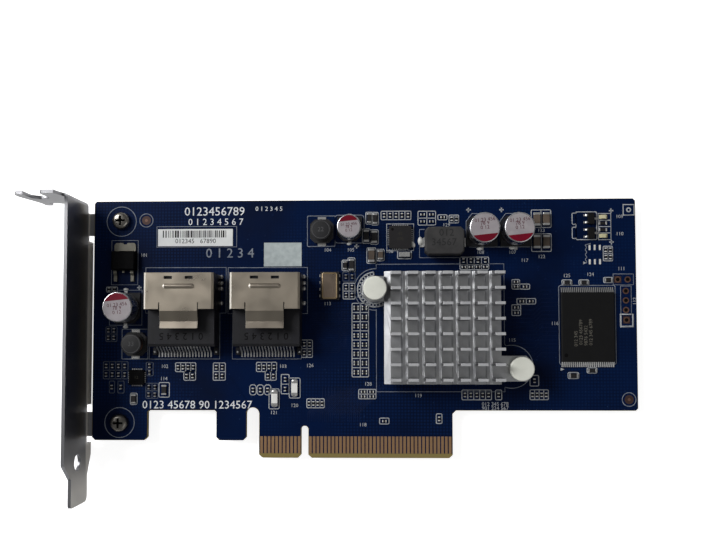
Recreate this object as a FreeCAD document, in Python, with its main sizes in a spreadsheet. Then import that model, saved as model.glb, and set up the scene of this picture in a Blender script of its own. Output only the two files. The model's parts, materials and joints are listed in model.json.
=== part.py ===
# Low-profile host bus adapter card: board, folded bracket, two cable ports and a pin-fin heat sink.
# Lengths are in millimetres. Positions are measured from the board's left edge (x), from the lower
# edge of the contact block (y) and from the component face (z). The finished pieces are then moved
# so that the bottom centre of the whole card is the origin, with the component side up.
import FreeCAD, Part
import Sketcher
import os

SIZES = {
    # every cut runs this far past the faces it opens
    "overrun": 1.0,
    # circuit board
    "board_width": 145.1,
    "board_top": 68.9,
    "board_thick": 1.57,
    "shelf": 12.6,
    "foot_low": 4.65,
    "foot_right": 14.95,
    "latch_left": 33.5,
    "latch_right": 41.5,
    "recess_top": 13.35,
    "block_left": 44.95,
    "key_left": 56.2,
    "key_right": 58.1,
    "key_top": 8.5,
    "block_right": 96.35,
    "block_chamfer": 0.9,
    "bevel_long": 1.27,
    "bevel_deep": 0.47,
    "slot_top_round": 1.7,
    "key_top_round": 0.93,
    "foot_chamfer": 0.8,
    "recess_chamfer": 0.5,
    "shelf_chamfer": 0.9,
    "corner_chamfer": 0.6,
    # edge contacts
    "contact_first": 45.65,
    "contact_resume": 58.65,
    "contact_pitch": 1.0,
    "contact_wide": 0.7,
    "contact_low": 1.3,
    "contact_high": 5.76,
    "contact_thick": 0.05,
    # bracket plate and its tapered tongue
    "sheet_thick": 0.86,
    "plate_gap": 1.75,
    "plate_near": 14.05,
    "plate_far": -4.17,
    "taper_near_y": -0.3,
    "taper_far_y": 0.5,
    "tongue_tip": -11.8,
    "tongue_root_near": -4.5,
    "tongue_root_far": -4.8,
    "tongue_near": 9.35,
    "tongue_far": -1.7,
    "tongue_near_round": 0.9,
    "tongue_far_round": 1.6,
    "tongue_hole": 4.4,
    "tongue_hole_y": -0.5,
    "tongue_hole_z": 5.2,
    # bracket tabs and the notches beside their folds
    "notch_top": -1.1,
    "notch_low_start": 3.7,
    "notch_low_end": 14.0,
    "notch_high_start": 58.2,
    "tab_low_start": 5.5,
    "tab_low_end": 12.0,
    "tab_high_start": 59.8,
    "tab_high_end": 65.8,
    "tab_reach": 12.0,
    "tab_chamfer": 1.3,
    "tab_fold": 1.1,
    "thread_gap": 0.02,
    # bracket flange with its open screw slot, tail and locating nub
    "flange_top": 68.66,
    "flange_far": -0.3,
    "flange_fold": 1.15,
    "flange_reach": 14.6,
    "slot_inner": 7.4,
    "slot_outer": 12.2,
    "slot_end": 10.2,
    "slot_round": 2.2,
    "tail_near": 16.8,
    "tail_tip": 13.7,
    "tail_shoulder": 15.6,
    "tail_heel": 13.2,
    "nub_outer": 12.9,
    "nub_inner": 10.9,
    "nub_root": 4.5,
    "nub_far": 0.4,
    "nub_chamfer": 0.6,
    "waist_x": 8.0,
    "waist_z": 3.6,
    "heel_x": 2.9,
    "prong_start": 3.0,
    "prong_shoulder": 3.8,
    "prong_near": 18.3,
    "prong_chamfer": 0.7,
    # screws
    "screw_x": 7.5,
    "screw_low_y": 9.3,
    "screw_high_y": 63.5,
    "screw_hole": 3.2,
    "screw_shank": 2.95,
    "screw_head": 4.7,
    "screw_head_tall": 1.7,
    "screw_brow": 1.2,
    "screw_crown": 3.7,
    "screw_under": 0.5,
    "cross_reach": 1.3,
    "cross_half": 0.3,
    "cross_deep": 1.0,
    # cable port shells
    "port_a_x": 25.45,
    "port_b_x": 47.68,
    "port_half": 9.02,
    "port_tall": 9.6,
    "port_mouth": 48.68,
    "port_back": 39.3,
    "port_sheet": 0.35,
    "port_corner": 0.5,
    "spring_wide": 9.75,
    "spring_bend": 38.8,
    "spring_low": 36.1,
    "spring_tip": 34.35,
    "spring_drop": 0.8,
    "spring_tip_drop": 0.35,
    "rib_half": 4.1,
    "rib_low": 44.55,
    "rib_high": 45.79,
    "rib_tall": 0.3,
    "rib_end": 0.4,
    "rib_edge": 0.22,
    "window_x": 2.7,
    "window_half": 1.06,
    "window_low": 47.03,
    "window_high": 47.79,
    "slit_x": 5.0,
    "slit_half": 0.14,
    "slit_top": 41.0,
    # cable port housings and rear leads
    "housing_half": 8.7,
    "housing_back": 29.63,
    "housing_tall": 6.4,
    "housing_face": 41.5,
    "housing_gap": 0.02,
    "housing_chamfer": 0.7,
    "card_slot_half": 7.7,
    "card_slot_low": 4.2,
    "card_slot_high": 5.6,
    "card_slot_deep": 7.5,
    "lead_pitch": 0.819,
    "lead_first": -7.37,
    "lead_wide": 0.36,
    "lead_root": 2.9,
    "lead_knee": 28.2,
    "lead_toe": 26.83,
    "lead_thick": 0.22,
    # controller chip and heat sink
    "chip_x": 93.4,
    "chip_y": 34.5,
    "chip_wide": 27.0,
    "chip_tall": 2.3,
    "carrier_tall": 1.1,
    "carrier_rim": 1.5,
    "lid_chamfer": 0.25,
    "pad_wide": 22.0,
    "sink_floor": 2.8,
    "sink_base": 5.4,
    "sink_left": 78.25,
    "sink_right": 108.6,
    "sink_low": 19.77,
    "sink_high": 49.24,
    "margin_drop": 1.3,
    "fin_top": 12.0,
    "fin_first_y": 48.28,
    "fin_pitch": 3.875,
    "fin_thick": 0.75,
    "fin_left": 80.02,
    "fin_long": 2.6,
    "fin_step": 4.36,
    "kerf_slope": 0.5,
    "ear_half": 3.3,
    "ear_chamfer": 1.7,
    "ear_hole": 3.3,
    # push pins and their springs
    "pin_upper_x": 75.95,
    "pin_upper_y": 44.6,
    "pin_lower_x": 113.4,
    "pin_lower_y": 23.85,
    "pin_hole": 3.0,
    "pin_shank": 2.7,
    "pin_head": 6.1,
    "pin_seat": 6.9,
    "pin_crown": 8.9,
    "pin_brow": 0.28,
    "barb_tip": 1.5,
    "barb_wide": 3.5,
    "barb_thick": 2.4,
    "pin_slit": 0.64,
    "pin_slit_top": 0.4,
    "spring_inner": 2.0,
    "spring_gauge": 0.4,
    # memory chip with leads at both ends
    "flash_x": 132.0,
    "flash_y": 34.65,
    "flash_wide": 14.0,
    "flash_long": 18.4,
    "flash_tall": 1.1,
    "flash_chamfer": 0.2,
    "flash_foot": 10.55,
    "flash_pitch": 0.5,
    "flash_lead_wide": 0.24,
    "flash_lead_root": 0.6,
    "flash_lead_thick": 0.15,
    # power inductor
    "coil_x": 94.24,
    "coil_y": 57.3,
    "coil_wide": 10.3,
    "coil_deep": 7.35,
    "coil_tall": 4.5,
    "coil_corner": 0.9,
    "coil_rim": 0.3,
    "coil_foot_left": 1.15,
    "coil_foot_right": 0.7,
    "coil_foot_under": 2.0,
    "coil_foot_wide": 2.4,
    "coil_foot_tall": 1.9,
    "coil_foot_thick": 0.15,
    "coil_foot_wall": 0.2,
    # drum inductors
    "drum_upper_x": 61.67,
    "drum_upper_y": 60.4,
    "drum_lower_x": 11.6,
    "drum_lower_y": 30.3,
    "drum_dia": 5.4,
    "drum_shank": 2.4,
    "drum_flange": 0.7,
    "drum_wound": 4.8,
    "drum_base": 6.3,
    "drum_base_top": 0.9,
    "drum_base_chamfer": 1.3,
    "drum_tall": 4.2,
    "drum_foot_half": 1.1,
    "drum_foot_under": 1.0,
    "drum_foot_out": 0.75,
    # capacitors
    "can_large": 7.9,
    "can_small": 6.3,
    "can_large_tall": 7.2,
    "can_small_tall": 6.0,
    "can_seat": 1.0,
    "can_neck": 0.25,
    "can_neck_rise": 0.35,
    "can_rim": 0.3,
    "can_base_lip": 0.15,
    "can_base_cut": 1.6,
    "can_foot_half": 0.45,
    "can_foot_under": 2.2,
    "can_foot_out": 1.0,
    "lift": 0.1,
    # power transistor
    "trans_x": 8.6,
    "trans_y": 52.62,
    "trans_wide": 6.4,
    "trans_deep": 5.15,
    "trans_tall": 2.3,
    "trans_rim": 0.35,
    "trans_tab": 57.54,
    "trans_tab_inset": 0.3,
    "trans_tab_corner": 0.5,
    "trans_tab_thick": 0.5,
    "trans_notch_half": 0.5,
    "trans_notch_deep": 0.4,
    "trans_lead_x": -2.55,
    "trans_lead_pitch": 4.57,
    "trans_lead_wide": 0.9,
    "trans_lead_root": 1.05,
    "trans_lead_knee": 0.7,
    "trans_lead_heel": 1.3,
    "trans_lead_toe": 2.9,
    "trans_lead_shift": 0.2,
    "trans_stub_left": -0.6,
    "trans_stub_right": 0.1,
    "trans_stub_long": 0.6,
    # flat packages and the oscillator
    "regulator_x": 82.66,
    "regulator_y": 58.76,
    "regulator_wide": 6.0,
    "small_chip_x": 12.1,
    "small_chip_y": 21.4,
    "small_chip_wide": 4.0,
    "flat_tall": 0.9,
    "clock_x": 63.83,
    "clock_y": 45.78,
    "clock_wide": 5.0,
    "clock_long": 7.5,
    "clock_lid_wide": 4.18,
    "clock_lid_long": 7.05,
    "clock_lid_tall": 1.3,
    "clock_lid_corner": 0.4,
    # signal transistors
    "sot_x": 133.2,
    "sot_upper_y": 63.45,
    "sot_lower_y": 59.6,
    "sot_wide": 1.7,
    "sot_long": 2.9,
    "sot_tall": 1.1,
    "sot_pitch": 0.95,
    "sot_lead_wide": 0.5,
    "sot_lead_root": 0.65,
    "sot_lead_thick": 0.15,
    "sot_knee": 0.35,
    "sot_heel": 0.5,
    "sot_toe": 1.0,
    # status lamps
    "led_x": 136.5,
    "led_upper_y": 63.93,
    "led_lower_y": 58.86,
    "led_half_long": 1.05,
    "led_half_wide": 0.5,
    "led_carrier": 0.3,
    "led_lens_half": 0.62,
    "led_tall": 0.75,
    # chips without leads
    "chip_end_step": 0.04,
    "tiny_tall": 0.45,
    # label
    "label_left": 17.4,
    "label_right": 37.64,
    "label_low": 56.64,
    "label_high": 61.26,
}


class Size:
    """A length that carries its value and the sheet formula that drives it."""

    def __init__(self, value, text):
        self.value = float(value)
        self.text = text

    def __add__(self, other):
        return Size(self.value + number(other), f"({self.text} + {words(other)})")

    def __radd__(self, other):
        return self + other

    def __sub__(self, other):
        return Size(self.value - number(other), f"({self.text} - {words(other)})")

    def __rsub__(self, other):
        return -self + other

    def __mul__(self, other):
        return Size(self.value * number(other), f"({self.text} * {words(other)})")

    def __rmul__(self, other):
        return self * other

    def __truediv__(self, other):
        return Size(self.value / number(other), f"({self.text} / {words(other)})")

    def __neg__(self):
        return Size(-self.value, f"(0 - {self.text})")


def number(size):
    return size.value if isinstance(size, Size) else float(size)


def words(size):
    return size.text if isinstance(size, Size) else f"({float(size):.6f})"


doc = FreeCAD.newDocument("host_bus_adapter")
sheet = doc.addObject("Spreadsheet::Sheet", "sheet")
s = {}
for row, (alias, value) in enumerate(SIZES.items(), start=1):
    sheet.set(f"A{row}", alias)
    sheet.set(f"B{row}", str(value))
    sheet.setAlias(f"B{row}", alias)
    s[alias] = Size(value, f"sheet.{alias}")
doc.recompute()

# The frame's origin in card positions: middle of the length and width, level with the lowest edge
SHIFT = (
    (s["board_width"] - s["flange_reach"]) / 2,
    (s["board_top"] + s["tongue_tip"]) / 2,
    s["plate_far"],
)
NODES = []


def bind(thing, name, size):
    thing.setExpression(name, words(size))


def place(thing, x=0, y=0, z=0):
    """Put a piece, modelled about its own local origin, at a card position in the part's frame."""
    for axis, size, shift in zip("xyz", (x, y, z), SHIFT):
        bind(thing, f"Placement.Base.{axis}", size - shift)


def new_body(name):
    body = doc.addObject("PartDesign::Body", name)
    body.AllowCompound = True
    return body


def origin_part(body, role):
    return next(part for part in body.Origin.OriginFeatures if part.Role == role)


def sketch_on(body, role, name, lift=0):
    """A sketch on one of the body's own planes, lifted along that plane's normal."""
    sketch = body.newObject("Sketcher::SketchObject", name)
    sketch.AttachmentSupport = [(origin_part(body, role), "")]
    sketch.MapMode = "FlatFace"
    bind(sketch, "AttachmentOffset.Base.z", lift)
    return sketch


def fix(sketch, item, point, x, y):
    for kind, size in (("DistanceX", x), ("DistanceY", y)):
        rule = Sketcher.Constraint(kind, -1, 1, item, point, number(size))
        index = sketch.addConstraint(rule)
        bind(sketch, f"Constraints[{index}]", size)


def outline(sketch, points):
    """A closed chain of straight edges with every corner dimensioned from the sketch's origin."""
    corners = [FreeCAD.Vector(number(x), number(y), 0) for x, y in points]
    first = sketch.GeometryCount
    count = len(points)
    for i in range(count):
        sketch.addGeometry(Part.LineSegment(corners[i], corners[(i + 1) % count]))
    for i in range(count):
        following = first + (i + 1) % count
        sketch.addConstraint(Sketcher.Constraint("Coincident", first + i, 2, following, 1))
    for i, (x, y) in enumerate(points):
        fix(sketch, first + i, 1, x, y)


def rectangle(sketch, x0, x1, y0, y1):
    outline(sketch, [(x0, y0), (x1, y0), (x1, y1), (x0, y1)])


def circle(sketch, x, y, diameter):
    centre = FreeCAD.Vector(number(x), number(y), 0)
    item = sketch.addGeometry(Part.Circle(centre, FreeCAD.Vector(0, 0, 1), number(diameter) / 2))
    fix(sketch, item, 3, x, y)
    index = sketch.addConstraint(Sketcher.Constraint("Diameter", item, number(diameter)))
    bind(sketch, f"Constraints[{index}]", diameter)


def grow(body, name, kind, sketch, length, back=False, both=False):
    """Pad or pocket a sketch by a driven length."""
    feature = body.newObject(f"PartDesign::{kind}", name)
    feature.Profile = sketch
    feature.Reversed = back
    if both:
        feature.SideType = "Symmetric"
    bind(feature, "Length", length)
    sketch.Visibility = False
    body.Tip = feature
    return feature


def spin(body, name, sketch):
    feature = body.newObject("PartDesign::Revolution", name)
    feature.Profile = sketch
    feature.ReferenceAxis = (sketch, ["V_Axis"])
    feature.Angle = 360
    body.Tip = feature
    return feature


def repeat(body, name, features, role, count, length, back=False):
    feature = body.newObject("PartDesign::LinearPattern", name)
    feature.Originals = features
    feature.Direction = (origin_part(body, role), [""])
    feature.Reversed = back
    feature.Occurrences = count
    bind(feature, "Length", length)
    body.Tip = feature
    return feature


def edges_along(axis, spots):
    """Choose straight edges along an axis that pass through the given spots of the other two axes."""
    others = [i for i in range(3) if i != "xyz".index(axis)]

    def wanted(edge):
        if len(edge.Vertexes) != 2 or edge.Curve.TypeId != "Part::GeomLine":
            return False
        start, end = (vertex.Point for vertex in edge.Vertexes)
        if any(abs(start[i] - end[i]) > 0.001 for i in others):
            return False
        return any(all(abs(start[i] - number(at)) < 0.01 for i, at in zip(others, spot)) for spot in spots)

    return wanted


def top_edges(height):
    """Choose every edge that lies wholly at one height."""

    def wanted(edge):
        return all(abs(vertex.Z - number(height)) < 0.001 for vertex in edge.Vertexes)

    return wanted


def ease(body, name, kind, base, size, wanted):
    """Round or chamfer the chosen edges of a feature."""
    doc.recompute()
    chosen = [f"Edge{i + 1}" for i, edge in enumerate(base.Shape.Edges) if wanted(edge)]
    feature = body.newObject(f"PartDesign::{kind}", name)
    feature.Base = (base, chosen)
    bind(feature, "Radius" if kind == "Fillet" else "Size", size)
    body.Tip = feature
    return feature


def slab(name, x0, x1, y0, y1, z0, z1):
    """A body that starts as one rectangular pad."""
    body = new_body(name)
    sketch = sketch_on(body, "XY_Plane", name + "_plan", z0)
    rectangle(sketch, x0, x1, y0, y1)
    feature = grow(body, name + "_pad", "Pad", sketch, z1 - z0)
    return body, feature


def box(name, x0, x1, y0, y1, z0, z1):
    """A plain rectangular block for groups of like chips."""
    block = doc.addObject("Part::Box", name)
    for side, size in (("Length", x1 - x0), ("Width", y1 - y0), ("Height", z1 - z0)):
        bind(block, side, size)
    for axis, size in zip("xyz", (x0, y0, z0)):
        bind(block, f"Placement.Base.{axis}", size)
    return block


def keep(name, piece, x=0, y=0, z=0):
    """Label a finished piece, put it in its place and list it for writing."""
    piece.Label = name
    place(piece, x, y, z)
    NODES.append(piece)


def group(name, members):
    """One node made of like solids that are already at their card positions."""
    bundle = doc.addObject("Part::Compound", name)
    bundle.Links = members
    keep(name, bundle)


# Circuit board with stepped lower edge, contact block, key slot and drilled holes
SCREW_SPOTS = [(s["screw_x"], s["screw_low_y"]), (s["screw_x"], s["screw_high_y"])]
PIN_SPOTS = [(s["pin_upper_x"], s["pin_upper_y"]), (s["pin_lower_x"], s["pin_lower_y"])]
board = new_body("circuit_board")
board_plan = sketch_on(board, "XY_Plane", "board_plan", -s["board_thick"])
chamfer = s["block_chamfer"]
outline(
    board_plan,
    [
        (0, s["foot_low"]),
        (s["foot_right"], s["foot_low"]),
        (s["foot_right"], s["shelf"]),
        (s["latch_left"], s["shelf"]),
        (s["latch_left"], s["foot_low"]),
        (s["latch_right"], s["foot_low"]),
        (s["latch_right"], s["recess_top"]),
        (s["block_left"], s["recess_top"]),
        (s["block_left"], chamfer),
        (s["block_left"] + chamfer, 0),
        (s["key_left"] - chamfer, 0),
        (s["key_left"], chamfer),
        (s["key_left"], s["key_top"]),
        (s["key_right"], s["key_top"]),
        (s["key_right"], chamfer),
        (s["key_right"] + chamfer, 0),
        (s["block_right"] - chamfer, 0),
        (s["block_right"], chamfer),
        (s["block_right"], s["shelf"]),
        (s["board_width"], s["shelf"]),
        (s["board_width"], s["board_top"]),
        (0, s["board_top"]),
    ],
)
grow(board, "board_pad", "Pad", board_plan, s["board_thick"])
bevel_profile = sketch_on(board, "YZ_Plane", "bevel_profile", s["block_left"] - s["overrun"])
outline(bevel_profile, [(0, 0), (s["bevel_long"], 0), (0, -s["bevel_deep"])])
bevel_under = s["bevel_deep"] - s["board_thick"]
outline(bevel_profile, [(0, -s["board_thick"]), (0, bevel_under), (s["bevel_long"], -s["board_thick"])])
bevel_run = s["block_right"] - s["block_left"] + s["overrun"] * 2
grow(board, "bevel_cut", "Pocket", bevel_profile, bevel_run, back=True)
drill_plan = sketch_on(board, "XY_Plane", "drill_plan")
for x, y in SCREW_SPOTS:
    circle(drill_plan, x, y, s["screw_hole"])
for x, y in PIN_SPOTS:
    circle(drill_plan, x, y, s["pin_hole"])
step = grow(board, "drill", "Pocket", drill_plan, s["board_thick"] + s["overrun"])
foot_corners = [(0, s["foot_low"]), (s["foot_right"], s["foot_low"])]
foot_corners += [(s["latch_left"], s["foot_low"]), (s["latch_right"], s["foot_low"])]
outer_corners = [(0, s["board_top"]), (s["board_width"], s["board_top"]), (s["board_width"], s["shelf"])]
slot_tops = [(s[side], s["recess_top"]) for side in ("latch_right", "block_left")]
key_tops = [(s[side], s["key_top"]) for side in ("key_left", "key_right")]
recess_corners = [(s[side], s["shelf"]) for side in ("foot_right", "latch_left")]
BOARD_CORNERS = [
    ("slot_tops", "Fillet", "slot_top_round", slot_tops),
    ("key_tops", "Fillet", "key_top_round", key_tops),
    ("foot_corners", "Chamfer", "foot_chamfer", foot_corners),
    ("recess_corners", "Chamfer", "recess_chamfer", recess_corners),
    ("shelf_corner", "Chamfer", "shelf_chamfer", [(s["block_right"], s["shelf"])]),
    ("outer_corners", "Chamfer", "corner_chamfer", outer_corners),
]
for name, kind, size, spots in BOARD_CORNERS:
    step = ease(board, name, kind, step, s[size], edges_along("z", spots))
keep("circuit_board", board)

# Gold edge contacts on both faces, eleven before the key slot and thirty-eight after it
CONTACT_ROWS = [("short", s["contact_first"], 11), ("long", s["contact_resume"], 38)]
for name, low in (("front_edge_contacts", 0), ("back_edge_contacts", -s["board_thick"] - s["contact_thick"])):
    contacts = new_body(name)
    for part, first, count in CONTACT_ROWS:
        plan = sketch_on(contacts, "XY_Plane", f"{name}_{part}_plan", low)
        half = s["contact_wide"] / 2
        rectangle(plan, first - half, first + half, s["contact_low"], s["contact_high"])
        strip = grow(contacts, f"{name}_{part}_strip", "Pad", plan, s["contact_thick"])
        repeat(contacts, f"{name}_{part}_row", [strip], "X_Axis", count, s["contact_pitch"] * (count - 1))
    keep(name, contacts)

# Bracket folded from one sheet: plate with a tapered tongue, slotted flange and two tapped tabs
bracket = new_body("mounting_bracket")
inner = -s["plate_gap"]
outer = inner - s["sheet_thick"]
tab_top = -s["board_thick"]
tab_under = tab_top - s["sheet_thick"]
TABS = [(s["tab_low_start"], s["tab_low_end"]), (s["tab_high_start"], s["tab_high_end"])]
plate_side = sketch_on(bracket, "YZ_Plane", "plate_side", outer)
outline(
    plate_side,
    [
        (s["flange_top"], s["plate_near"]),
        (s["taper_near_y"], s["plate_near"]),
        (s["tongue_root_near"], s["tongue_near"]),
        (s["tongue_tip"], s["tongue_near"]),
        (s["tongue_tip"], s["tongue_far"]),
        (s["tongue_root_far"], s["tongue_far"]),
        (s["taper_far_y"], s["plate_far"]),
        (s["notch_low_start"], s["plate_far"]),
        (s["notch_low_start"], s["notch_top"]),
        (s["tab_low_start"], s["notch_top"]),
        (s["tab_low_start"], tab_under),
        (s["tab_low_end"], tab_under),
        (s["tab_low_end"], s["notch_top"]),
        (s["notch_low_end"], s["notch_top"]),
        (s["notch_low_end"], s["plate_far"]),
        (s["notch_high_start"], s["plate_far"]),
        (s["notch_high_start"], s["notch_top"]),
        (s["tab_high_start"], s["notch_top"]),
        (s["tab_high_start"], tab_under),
        (s["tab_high_end"], tab_under),
        (s["tab_high_end"], s["flange_far"]),
        (s["flange_top"], s["flange_far"]),
    ],
)
grow(bracket, "plate", "Pad", plate_side, s["sheet_thick"])
flange_plan = sketch_on(bracket, "XZ_Plane", "flange_plan", -s["flange_top"])
nub_side = s["nub_far"] + s["nub_chamfer"]
outline(
    flange_plan,
    [
        (inner, s["flange_far"]),
        (inner, s["plate_near"]),
        (-s["slot_inner"], s["plate_near"]),
        (-s["slot_inner"], s["slot_end"]),
        (-s["slot_outer"], s["slot_end"]),
        (-s["slot_outer"], s["tail_near"]),
        (-s["tail_tip"], s["tail_near"]),
        (-s["flange_reach"], s["tail_shoulder"]),
        (-s["flange_reach"], s["tail_heel"]),
        (-s["nub_outer"], s["nub_root"]),
        (-s["nub_outer"], nub_side),
        (s["nub_chamfer"] - s["nub_outer"], s["nub_far"]),
        (-s["nub_chamfer"] - s["nub_inner"], s["nub_far"]),
        (-s["nub_inner"], nub_side),
        (-s["nub_inner"], s["nub_root"]),
        (-s["waist_x"], s["waist_z"]),
        (-s["heel_x"], s["flange_far"]),
    ],
)
grow(bracket, "flange", "Pad", flange_plan, s["sheet_thick"])
for i, (low, high) in enumerate(TABS):
    tab_plan = sketch_on(bracket, "XY_Plane", f"tab_plan_{i}", tab_under)
    rectangle(tab_plan, outer, s["tab_reach"], low, high)
    grow(bracket, f"tab_{i}", "Pad", tab_plan, s["sheet_thick"])
tab_drill = sketch_on(bracket, "XY_Plane", "tab_drill", tab_top)
for x, y in SCREW_SPOTS:
    circle(tab_drill, x, y, s["screw_shank"] + s["thread_gap"])
grow(bracket, "tab_holes", "Pocket", tab_drill, s["sheet_thick"] + s["overrun"])
hole_side = sketch_on(bracket, "YZ_Plane", "hole_side", inner)
circle(hole_side, s["tongue_hole_y"], s["tongue_hole_z"], s["tongue_hole"])
step = grow(bracket, "tongue_drill", "Pocket", hole_side, s["sheet_thick"] + s["overrun"])
tab_corners = [(s["tab_reach"], at) for tab in TABS for at in tab]
BRACKET_CORNERS = [
    ("tongue_near_corner", "Fillet", "x", "tongue_near_round", [(s["tongue_tip"], s["tongue_near"])]),
    ("tongue_far_corner", "Fillet", "x", "tongue_far_round", [(s["tongue_tip"], s["tongue_far"])]),
    ("tab_corners", "Chamfer", "z", "tab_chamfer", tab_corners),
    ("flange_bend", "Fillet", "z", "flange_fold", [(inner, s["flange_top"])]),
    ("tab_bends", "Fillet", "y", "tab_fold", [(outer, tab_under)]),
]
for name, kind, axis, size, spots in BRACKET_CORNERS:
    step = ease(bracket, name, kind, step, s[size], edges_along(axis, spots))
prong_plan = sketch_on(bracket, "XZ_Plane", "prong_plan", -s["flange_top"])
outline(
    prong_plan,
    [
        (-s["prong_start"], s["plate_near"]),
        (-s["prong_shoulder"], s["prong_near"]),
        (s["prong_chamfer"] - s["slot_inner"], s["prong_near"]),
        (-s["slot_inner"], s["prong_near"] - s["prong_chamfer"]),
        (-s["slot_inner"], s["plate_near"]),
    ],
)
step = grow(bracket, "prong", "Pad", prong_plan, s["sheet_thick"])
slot_corners = [(-s["slot_inner"], s["slot_end"]), (-s["slot_outer"], s["slot_end"])]
ease(bracket, "slot_bottom", "Fillet", step, s["slot_round"], edges_along("y", slot_corners))
keep("mounting_bracket", bracket)

# Two pan-head screws with cross recesses, through the board into the bracket's tabs
screws = []
for i, (x, y) in enumerate(SCREW_SPOTS):
    screw = new_body(f"screw_{i}")
    profile = sketch_on(screw, "XZ_Plane", f"screw_profile_{i}")
    head = s["screw_head"] / 2
    shank = s["screw_shank"] / 2
    tip = tab_under - s["screw_under"]
    outline(
        profile,
        [
            (0, tip),
            (shank, tip),
            (shank, 0),
            (head, 0),
            (head, s["screw_brow"]),
            (s["screw_crown"] / 2, s["screw_head_tall"]),
            (0, s["screw_head_tall"]),
        ],
    )
    spin(screw, f"screw_turned_{i}", profile)
    cross = sketch_on(screw, "XY_Plane", f"cross_{i}", s["screw_head_tall"])
    arm = s["cross_reach"]
    edge = s["cross_half"]
    outline(
        cross,
        [
            (-arm, -edge),
            (-edge, -edge),
            (-edge, -arm),
            (edge, -arm),
            (edge, -edge),
            (arm, -edge),
            (arm, edge),
            (edge, edge),
            (edge, arm),
            (-edge, arm),
            (-edge, edge),
            (-arm, edge),
        ],
    )
    grow(screw, f"recess_{i}", "Pocket", cross, s["cross_deep"])
    bind(screw, "Placement.Base.x", x)
    bind(screw, "Placement.Base.y", y)
    screws.append(screw)
group("bracket_screws", screws)

# Two cable ports: folded shell with a rear spring tongue, slotted housing and a row of rear leads
LEAD_COUNT = 18
for port, centre in (("port_a", s["port_a_x"]), ("port_b", s["port_b_x"])):
    shell = new_body(f"{port}_shell")
    half = s["port_half"]
    thick = s["port_sheet"]
    roof = s["port_tall"]
    mouth = sketch_on(shell, "XZ_Plane", f"{port}_mouth", -s["port_mouth"])
    rectangle(mouth, -half, half, 0, roof)
    rectangle(mouth, thick - half, half - thick, thick, roof - thick)
    step = grow(shell, f"{port}_tube", "Pad", mouth, s["port_mouth"] - s["port_back"])
    corners = [(x, roof) for x in (-half, half)]
    ease(shell, f"{port}_tube_corners", "Chamfer", step, s["port_corner"], edges_along("y", corners))
    spring = sketch_on(shell, "YZ_Plane", f"{port}_spring")
    low = roof - s["spring_drop"]
    lip = roof - s["spring_tip_drop"]
    outline(
        spring,
        [
            (s["port_back"], roof),
            (s["port_back"], roof - thick),
            (s["spring_bend"], roof - thick),
            (s["spring_low"], low - thick),
            (s["spring_tip"], lip - thick),
            (s["spring_tip"], lip),
            (s["spring_low"], low),
            (s["spring_bend"], roof),
        ],
    )
    grow(shell, f"{port}_tongue", "Pad", spring, s["spring_wide"], both=True)
    rib = sketch_on(shell, "XY_Plane", f"{port}_rib", roof)
    end = s["rib_half"] - s["rib_end"]
    outline(
        rib,
        [
            (-s["rib_half"], s["rib_low"] + s["rib_end"]),
            (-end, s["rib_low"]),
            (end, s["rib_low"]),
            (s["rib_half"], s["rib_low"] + s["rib_end"]),
            (s["rib_half"], s["rib_high"] - s["rib_end"]),
            (end, s["rib_high"]),
            (-end, s["rib_high"]),
            (-s["rib_half"], s["rib_high"] - s["rib_end"]),
        ],
    )
    step = grow(shell, f"{port}_stiffener", "Pad", rib, s["rib_tall"])
    ease(shell, f"{port}_rib_edge", "Chamfer", step, s["rib_edge"], top_edges(roof + s["rib_tall"]))
    cuts = sketch_on(shell, "XY_Plane", f"{port}_cuts", roof)
    for side in (-1, 1):
        window = s["window_x"] * side
        window_sides = (window - s["window_half"], window + s["window_half"])
        rectangle(cuts, *window_sides, s["window_low"], s["window_high"])
        slit = s["slit_x"] * side
        slit_low = s["port_back"] - s["slit_half"]
        rectangle(cuts, slit - s["slit_half"], slit + s["slit_half"], slit_low, s["slit_top"])
    grow(shell, f"{port}_windows", "Pocket", cuts, thick * 2)
    keep(f"{port}_shell", shell, x=centre)

    housing = new_body(f"{port}_housing")
    gap = thick + s["housing_gap"]
    block_side = sketch_on(housing, "YZ_Plane", f"{port}_block_side")
    outline(
        block_side,
        [
            (s["housing_back"], 0),
            (s["port_back"], 0),
            (s["port_back"], s["housing_tall"]),
            (s["housing_back"] + s["housing_chamfer"], s["housing_tall"]),
            (s["housing_back"], s["housing_tall"] - s["housing_chamfer"]),
        ],
    )
    grow(housing, f"{port}_block", "Pad", block_side, s["housing_half"] * 2, both=True)
    nose = sketch_on(housing, "XZ_Plane", f"{port}_nose", -s["housing_face"])
    rectangle(nose, gap - half, half - gap, gap, roof - gap)
    grow(housing, f"{port}_nose_block", "Pad", nose, s["housing_face"] - s["port_back"])
    slot = sketch_on(housing, "XZ_Plane", f"{port}_slot", -s["housing_face"])
    rectangle(slot, -s["card_slot_half"], s["card_slot_half"], s["card_slot_low"], s["card_slot_high"])
    grow(housing, f"{port}_card_slot", "Pocket", slot, s["card_slot_deep"], back=True)
    keep(f"{port}_housing", housing, x=centre)

    leads = new_body(f"{port}_contacts")
    bend = sketch_on(leads, "YZ_Plane", f"{port}_bend", s["lead_first"])
    outline(
        bend,
        [
            (s["housing_back"], s["lead_root"]),
            (s["lead_knee"] - s["lead_thick"], s["lead_thick"]),
            (s["lead_toe"], s["lead_thick"]),
            (s["lead_toe"], 0),
            (s["lead_knee"], 0),
            (s["housing_back"], s["lead_root"] - s["lead_thick"] * 2),
        ],
    )
    lead = grow(leads, f"{port}_lead", "Pad", bend, s["lead_wide"], both=True)
    repeat(leads, f"{port}_lead_row", [lead], "X_Axis", LEAD_COUNT, s["lead_pitch"] * (LEAD_COUNT - 1))
    keep(f"{port}_contacts", leads, x=centre)

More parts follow.
